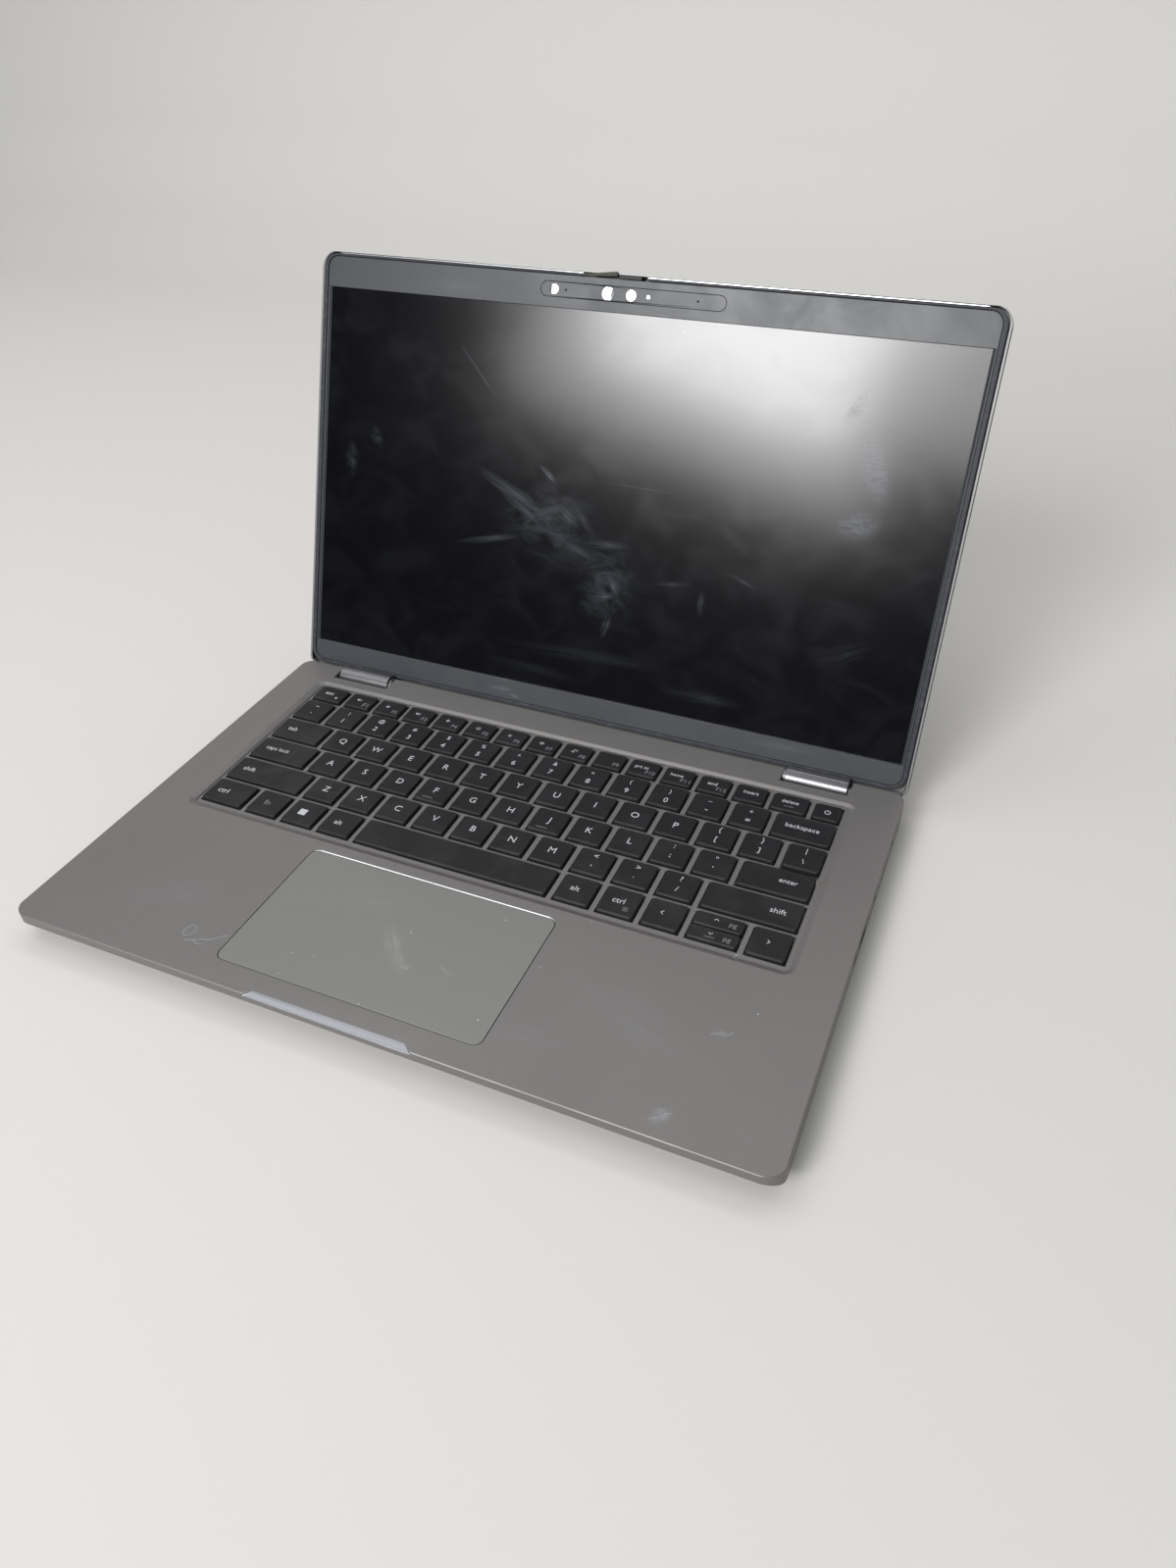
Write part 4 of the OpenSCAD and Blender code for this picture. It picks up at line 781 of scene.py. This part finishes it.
pageMark = [("bar", 0, 0.9, 1.9, 0.2, 0), ("bar", 0, -0.9, 1.9, 0.2, 0), ("bar", -0.9, 0, 0.2, 1.9, 0),
            ("bar", 0.9, 0, 0.2, 1.9, 0), ("bar", 0, 0.25, 1.0, 0.18, 0), ("bar", 0, -0.3, 1.0, 0.18, 0)]
powerRing = [("arc", 0, 0, 1.25, 0.32, 115, 425), ("bar", 0, 0.95, 0.32, 1.3, 0)]


def chevron(turn):
    c, s = math.cos(math.radians(turn)), math.sin(math.radians(turn))
    return [("bar", -side * 0.62 * s, side * 0.62 * c, 1.9, 0.36, turn - side * 41) for side in (-1, 1)]


def line(length, thick):
    return [("bar", 0, 0, length, thick, 0)]


def middles(row):
    return [x0 + width / 2 for x0, width in rows[row]]


legends = {node: [] for node in keyNodes}  # words or marks, x, y, height or size, width, tint


def addLegends(node, *items):
    legends[node] += items


def addRow(node, places, keys, y, height=legendLook["letter"]):
    addLegends(node, *[(key, x, y, height, None, 0) for x, key in zip(places, keys)])


def addPairs(node, places, pairs, lowY, highY, lowHeight=legendLook["sign"], highHeight=legendLook["sign"]):
    for x, (upper, lower) in zip(places, pairs):
        addLegends(node, (lower, x, lowY, lowHeight, None, 0), (upper, x, highY, highHeight, None, 0))


addPairs("number_keys", middles("number"),
         ["~`", "!1", "@2", "#3", "$4", "%5", "^6", "&7", "*8", "(9", ")0", "_-", "+="], 166.2, 172.3,
         legendLook["digit"], legendLook["shifted"])
addRow("upper_letter_keys", middles("upper")[1:11], "QWERTYUIOP", 151.3)
addPairs("upper_letter_keys", middles("upper")[11:], ["{[", "}]", "|\\"], 148.6, 155.1)
addLegends("upper_letter_keys", ("tab", -129, 151.3, 0, 5.0, 0))
addRow("home_letter_keys", middles("home")[1:10], "ASDFGHJKL", 134.1)
addPairs("home_letter_keys", middles("home")[10:12], [":;", "\"'"], 131.4, 137.6)
addLegends("home_letter_keys", ("caps lock", -125.4, 133.9, 0, 12.8, 0),
           (line(5.2, 0.28), -39.6, 128.3, 1, None, 1), (line(5.2, 0.28), 17.5, 128.3, 1, None, 1))
addLegends("enter_key", ("enter", 126.6, 134.4, 0, 7.8, 0))
addRow("lower_letter_keys", middles("lower")[1:8], "ZXCVBNM", 116.4)
addPairs("lower_letter_keys", middles("lower")[8:11], ["<,", ">.", "?/"], 113.4, 119.7)
addLegends("left_shift_key", ("shift", -128.6, 115.9, 0, 6.3, 0))
addLegends("right_shift_key", ("shift", 127.3, 116.4, 0, 6.6, 0))
addLegends("modifier_keys",
           ("ctrl", -129.8, 98.1, 0, 5.4, 0), ("fn", -105.4, 98.1, 0, 3.0, 1),
           ("alt", -67.4, 98.1, 0, 3.8, 0), (line(3.7, 3.7), -86.4, 98.1, 1, None, 0),
           ("alt", 47, 98.5, 0, 3.9, 0), ("ctrl", 66.2, 98.5, 0, 5.2, 0), (pageMark, 70.4, 94.5, 1, None, 1))
addLegends("arrow_keys",
           (chevron(180), 84.7, 98.6, 0.8, None, 0), (chevron(0), 128.3, 98.6, 0.8, None, 0),
           (chevron(90), 106.2, 102.6, 0.7, None, 0), (chevron(270), 106.2, 94.6, 0.7, None, 0),
           (line(4.2, 0.24), 106.2, 92.5, 1, None, 1), ("pg", 113.2, 102.2, 0, 3.0, 1),
           ("pg", 113.2, 93.9, 0, 3.0, 1))
fKeys = middles("function")
icons = [speaker + cross, speaker + wave, speaker + wideWave, microphone + smallCross, keyLight, sunSmall,
         sunLarge, screens]
addLegends("function_keys", *[(icon, x - 1.3, 185.1, 1.0, None, 0) for x, icon in zip(fKeys[1:9], icons)])
for number, word, width in ((10, "prt sc", 6.6), (11, "home", 6.2), (12, "end", 4.4)):
    addLegends("function_keys", (word, fKeys[number] - 1.1, 185.3, 0, width, 0))
for number in range(1, 13):
    width = 4.6 if number > 9 else 3.0
    addLegends("function_keys", ("F" + str(number), fKeys[number] + 3.9, 182.1, 0, width, 1))
addLegends("function_keys",
           ("esc", -129.9, 185.2, 0, 4.6, 0), (padlock, -124.5, 182.4, 0.85, None, 0),
           ("insert", fKeys[13], 185.3, 0, 7.0, 0), ("delete", fKeys[14], 185.3, 0, 7.6, 0),
           (line(4.4, 0.24), fKeys[14], 181.8, 1, None, 1))
addLegends("power_button", (powerRing, fKeys[15], 184.0, 1.0, None, 0))
addLegends("backspace_key", ("backspace", 123.3, 169.8, 0, 15.0, 0))

for node, items in legends.items():
    if not items:
        continue
    shape = bmesh.new()
    for what, x, y, height, width, index in items:
        if isinstance(what, str):
            wordShape(shape, what, x, y, height, width, index)
        else:
            markShape(shape, what, x, y, height, index)
    bmesh.ops.remove_doubles(shape, verts=shape.verts, dist=0.0005)
    for face in shape.faces:
        if face.normal.z < 0:
            face.normal_flip()
    bmesh.ops.solidify(shape, geom=shape.faces[:], thickness=legendLook["thick"])
    finishPiece(shape, node + "_legends", node, [legendWhite, legendDim], deckPlace, 30, False)
print("legends made")


# dried residue and crumbs

def stroke(target, points, width, height, closed):
    curve = bpy.data.curves.new("stroke", "CURVE")
    curve.dimensions = "3D"
    curve.bevel_depth = width / 2
    curve.bevel_resolution = 2
    curve.use_fill_caps = True
    spline = curve.splines.new("NURBS")
    spline.points.add(len(points) - 1)
    for point, (x, y) in zip(spline.points, points):
        point.co = (x, y, 0, 1)
        point.radius = random.uniform(0.55, 1.2)
    spline.order_u = 3
    spline.use_cyclic_u = closed
    spline.use_endpoint_u = not closed
    spline.resolution_u = 4
    mesh = curveMesh("stroke", curve)
    mesh.transform(Matrix.Diagonal((1, 1, height / width, 1)))
    target.from_mesh(mesh)
    bpy.data.meshes.remove(mesh)


def palmResidue():
    look = {"width": 0.4, "height": 0.06}
    shape = bmesh.new()
    trails = [
        ([(-86.2, 15.8), (-87.4, 18.4), (-86.4, 21.6), (-84.2, 22.4), (-82.6, 20.2), (-83.2, 17.0)], True),
        ([(-84.0, 14.2), (-80.5, 15.2), (-77.5, 17.2), (-74.6, 17.6), (-71.6, 20.8), (-68.4, 22.6)], False),
        ([(-80.0, 15.4), (-78.4, 13.6), (-75.4, 15.0)], False),
        ([(113.4, 6.4), (116.6, 8.4), (118.4, 11.2), (120.4, 11.0)], False),
        ([(114.6, 11.0), (117.6, 12.2), (119.2, 9.4)], False),
        ([(121.6, 47.2), (124.2, 49.6), (127.6, 49.0), (129.0, 51.4)], False),
    ]
    for points, closed in trails:
        stroke(shape, points, look["width"], look["height"], closed)
    finishPiece(shape, "palmrest_residue", "base", [residuePale], deckPlace, 60, False)


def crumbs():
    places = {  # x, y, z, radius
        "base": [(52, 53.5, 0, 0.34), (60.5, 82.6, 0, 0.26), (134.6, 62.4, 0, 0.42), (118.5, 88.6, -1.6, 0.5),
                 (-76, 24, 0, 0.3), (118.3, 86.8, -1.05, 0.3), (91.3, 107.0, -1.6, 0.3),
                 (-86, 88.9, -1.6, 0.3), (61, 83.2, 0, 0.2)],
        "touchpad": [(29, 71, 0, 0.4), (-2.6, 51, 0, 0.4), (-40, 24.2, 0, 0.42), (42.3, 22, 0, 0.5),
                     (-31, 25.6, 0, 0.3), (-2, 12.2, 0, 0.4), (-38.6, 13.4, 0, 0.3)],
    }
    for body, spots in places.items():
        shape = bmesh.new()
        for x, y, z, size in spots:
            verts = bmesh.ops.create_icosphere(shape, subdivisions=1, radius=size)["verts"]
            for vert in verts:
                vert.co *= random.uniform(0.75, 1.15)
            bmesh.ops.scale(shape, vec=(1, 0.8, 0.45), verts=verts)
            bmesh.ops.translate(shape, vec=(x, y, z + size * 0.2), verts=verts)
        finishPiece(shape, body + "_crumbs", body, [legendWhite], deckPlace, 60, False)


palmResidue()
crumbs()
print("dirt laid")


# floor, lights and camera

def sweepStage():  # pale floor that curves up into a backdrop
    look = {"colour": (0.50, 0.49, 0.47), "half": 6,
            "line": [(-6, 0), (0.75, 0), (0.95, 0.03), (1.1, 0.12), (1.2, 0.28), (1.25, 0.5), (1.27, 2.6)]}
    shape = bmesh.new()
    verts = [shape.verts.new((-look["half"], y, z)) for y, z in look["line"]]
    edges = [shape.edges.new(pair) for pair in zip(verts, verts[1:])]
    made = bmesh.ops.extrude_edge_only(shape, edges=edges)["geom"]
    moved = [g for g in made if isinstance(g, bmesh.types.BMVert)]
    bmesh.ops.translate(shape, vec=(2 * look["half"], 0, 0), verts=moved)
    bmesh.ops.recalc_face_normals(shape, faces=shape.faces)
    mesh = bpy.data.meshes.new("studioSweep")
    for face in shape.faces:
        face.smooth = True
    shape.to_mesh(mesh)
    shape.free()
    sweep = bpy.data.objects.new("studioSweep", mesh)
    bpy.context.scene.collection.objects.link(sweep)
    material, tree, shader = newFinish("studioFloor", 0.9)
    shader.inputs["Base Color"].default_value = (*look["colour"], 1)
    mesh.materials.append(material)


def skyLight():
    look = {"colour": (0.93, 0.96, 1.0, 1), "strength": 0.42, "mirrored": 0.05, "seen": 0.74}
    world = bpy.data.worlds.new("studioWorld")
    bpy.context.scene.world = world
    world.use_nodes = True
    tree = world.node_tree
    background = tree.nodes["Background"]
    background.inputs["Color"].default_value = look["colour"]
    rays = addNode(tree, "LightPath")
    level = spread(tree, rays.outputs["Is Glossy Ray"], 0, 1, look["strength"], look["mirrored"], "LINEAR")
    level = spread(tree, rays.outputs["Is Camera Ray"], 0, 1, level, look["seen"], "LINEAR")
    tree.links.new(level, background.inputs["Strength"])


def lamps():
    screen = (0.0, 0.1, 0.16)
    look = {"window": {"at": (-0.44, -1.6, 1.12), "to": screen, "size": (0.60, 0.62), "power": 20, "roll": -10},
            "halo": {"at": (-0.46, -1.62, 1.13), "to": screen, "size": (0.88, 0.90), "power": 17, "roll": -10},
            "sideWindow": {"at": (0.1, -1.64, 1.12), "to": screen, "size": (0.4, 0.7), "power": 6, "roll": 0},
            "soft": {"at": (-0.9, -0.2, 1.8), "to": (0, 0.05, 0), "size": (1.2, 1.4), "power": 10, "roll": 0},
            "back": {"at": (0, 0.7, 1.7), "to": (0, 1.3, 0.5), "size": (2.4, 0.6), "power": 12, "roll": 0}}
    for name, part in look.items():
        light = bpy.data.lights.new(name + "Light", "AREA")
        light.shape = "RECTANGLE"
        light.size, light.size_y = part["size"]
        light.energy = part["power"]
        lamp = bpy.data.objects.new(name + "Light", light)
        lamp.location = part["at"]
        aim = (Vector(part["to"]) - Vector(part["at"])).to_track_quat("-Z", "Y").to_matrix()
        lamp.rotation_euler = (aim @ Matrix.Rotation(math.radians(part["roll"]), 3, "Z")).to_euler()
        bpy.context.scene.collection.objects.link(lamp)


def camera():
    look = {"at": (0.18687, -0.34071, 0.32333), "right": (0.91885, 0.39399, -0.02194),
            "up": (-0.22668, 0.57253, 0.78792), "forward": (-0.32300, 0.71901, -0.61538), "lens": 25.14}
    lens = bpy.data.cameras.new("viewCamera")
    lens.lens = look["lens"]
    lens.sensor_width = 36
    lens.sensor_fit = "AUTO"
    lens.clip_start = 0.01
    holder = bpy.data.objects.new("viewCamera", lens)
    right, up, back = Vector(look["right"]), Vector(look["up"]), -Vector(look["forward"])
    turn = Matrix((right, up, back)).transposed().to_4x4()
    holder.matrix_world = Matrix.Translation(look["at"]) @ turn
    bpy.context.scene.collection.objects.link(holder)
    bpy.context.scene.camera = holder


sweepStage()
skyLight()
lamps()
camera()
bpy.context.scene.view_settings.view_transform = "Standard"
print("studio set")
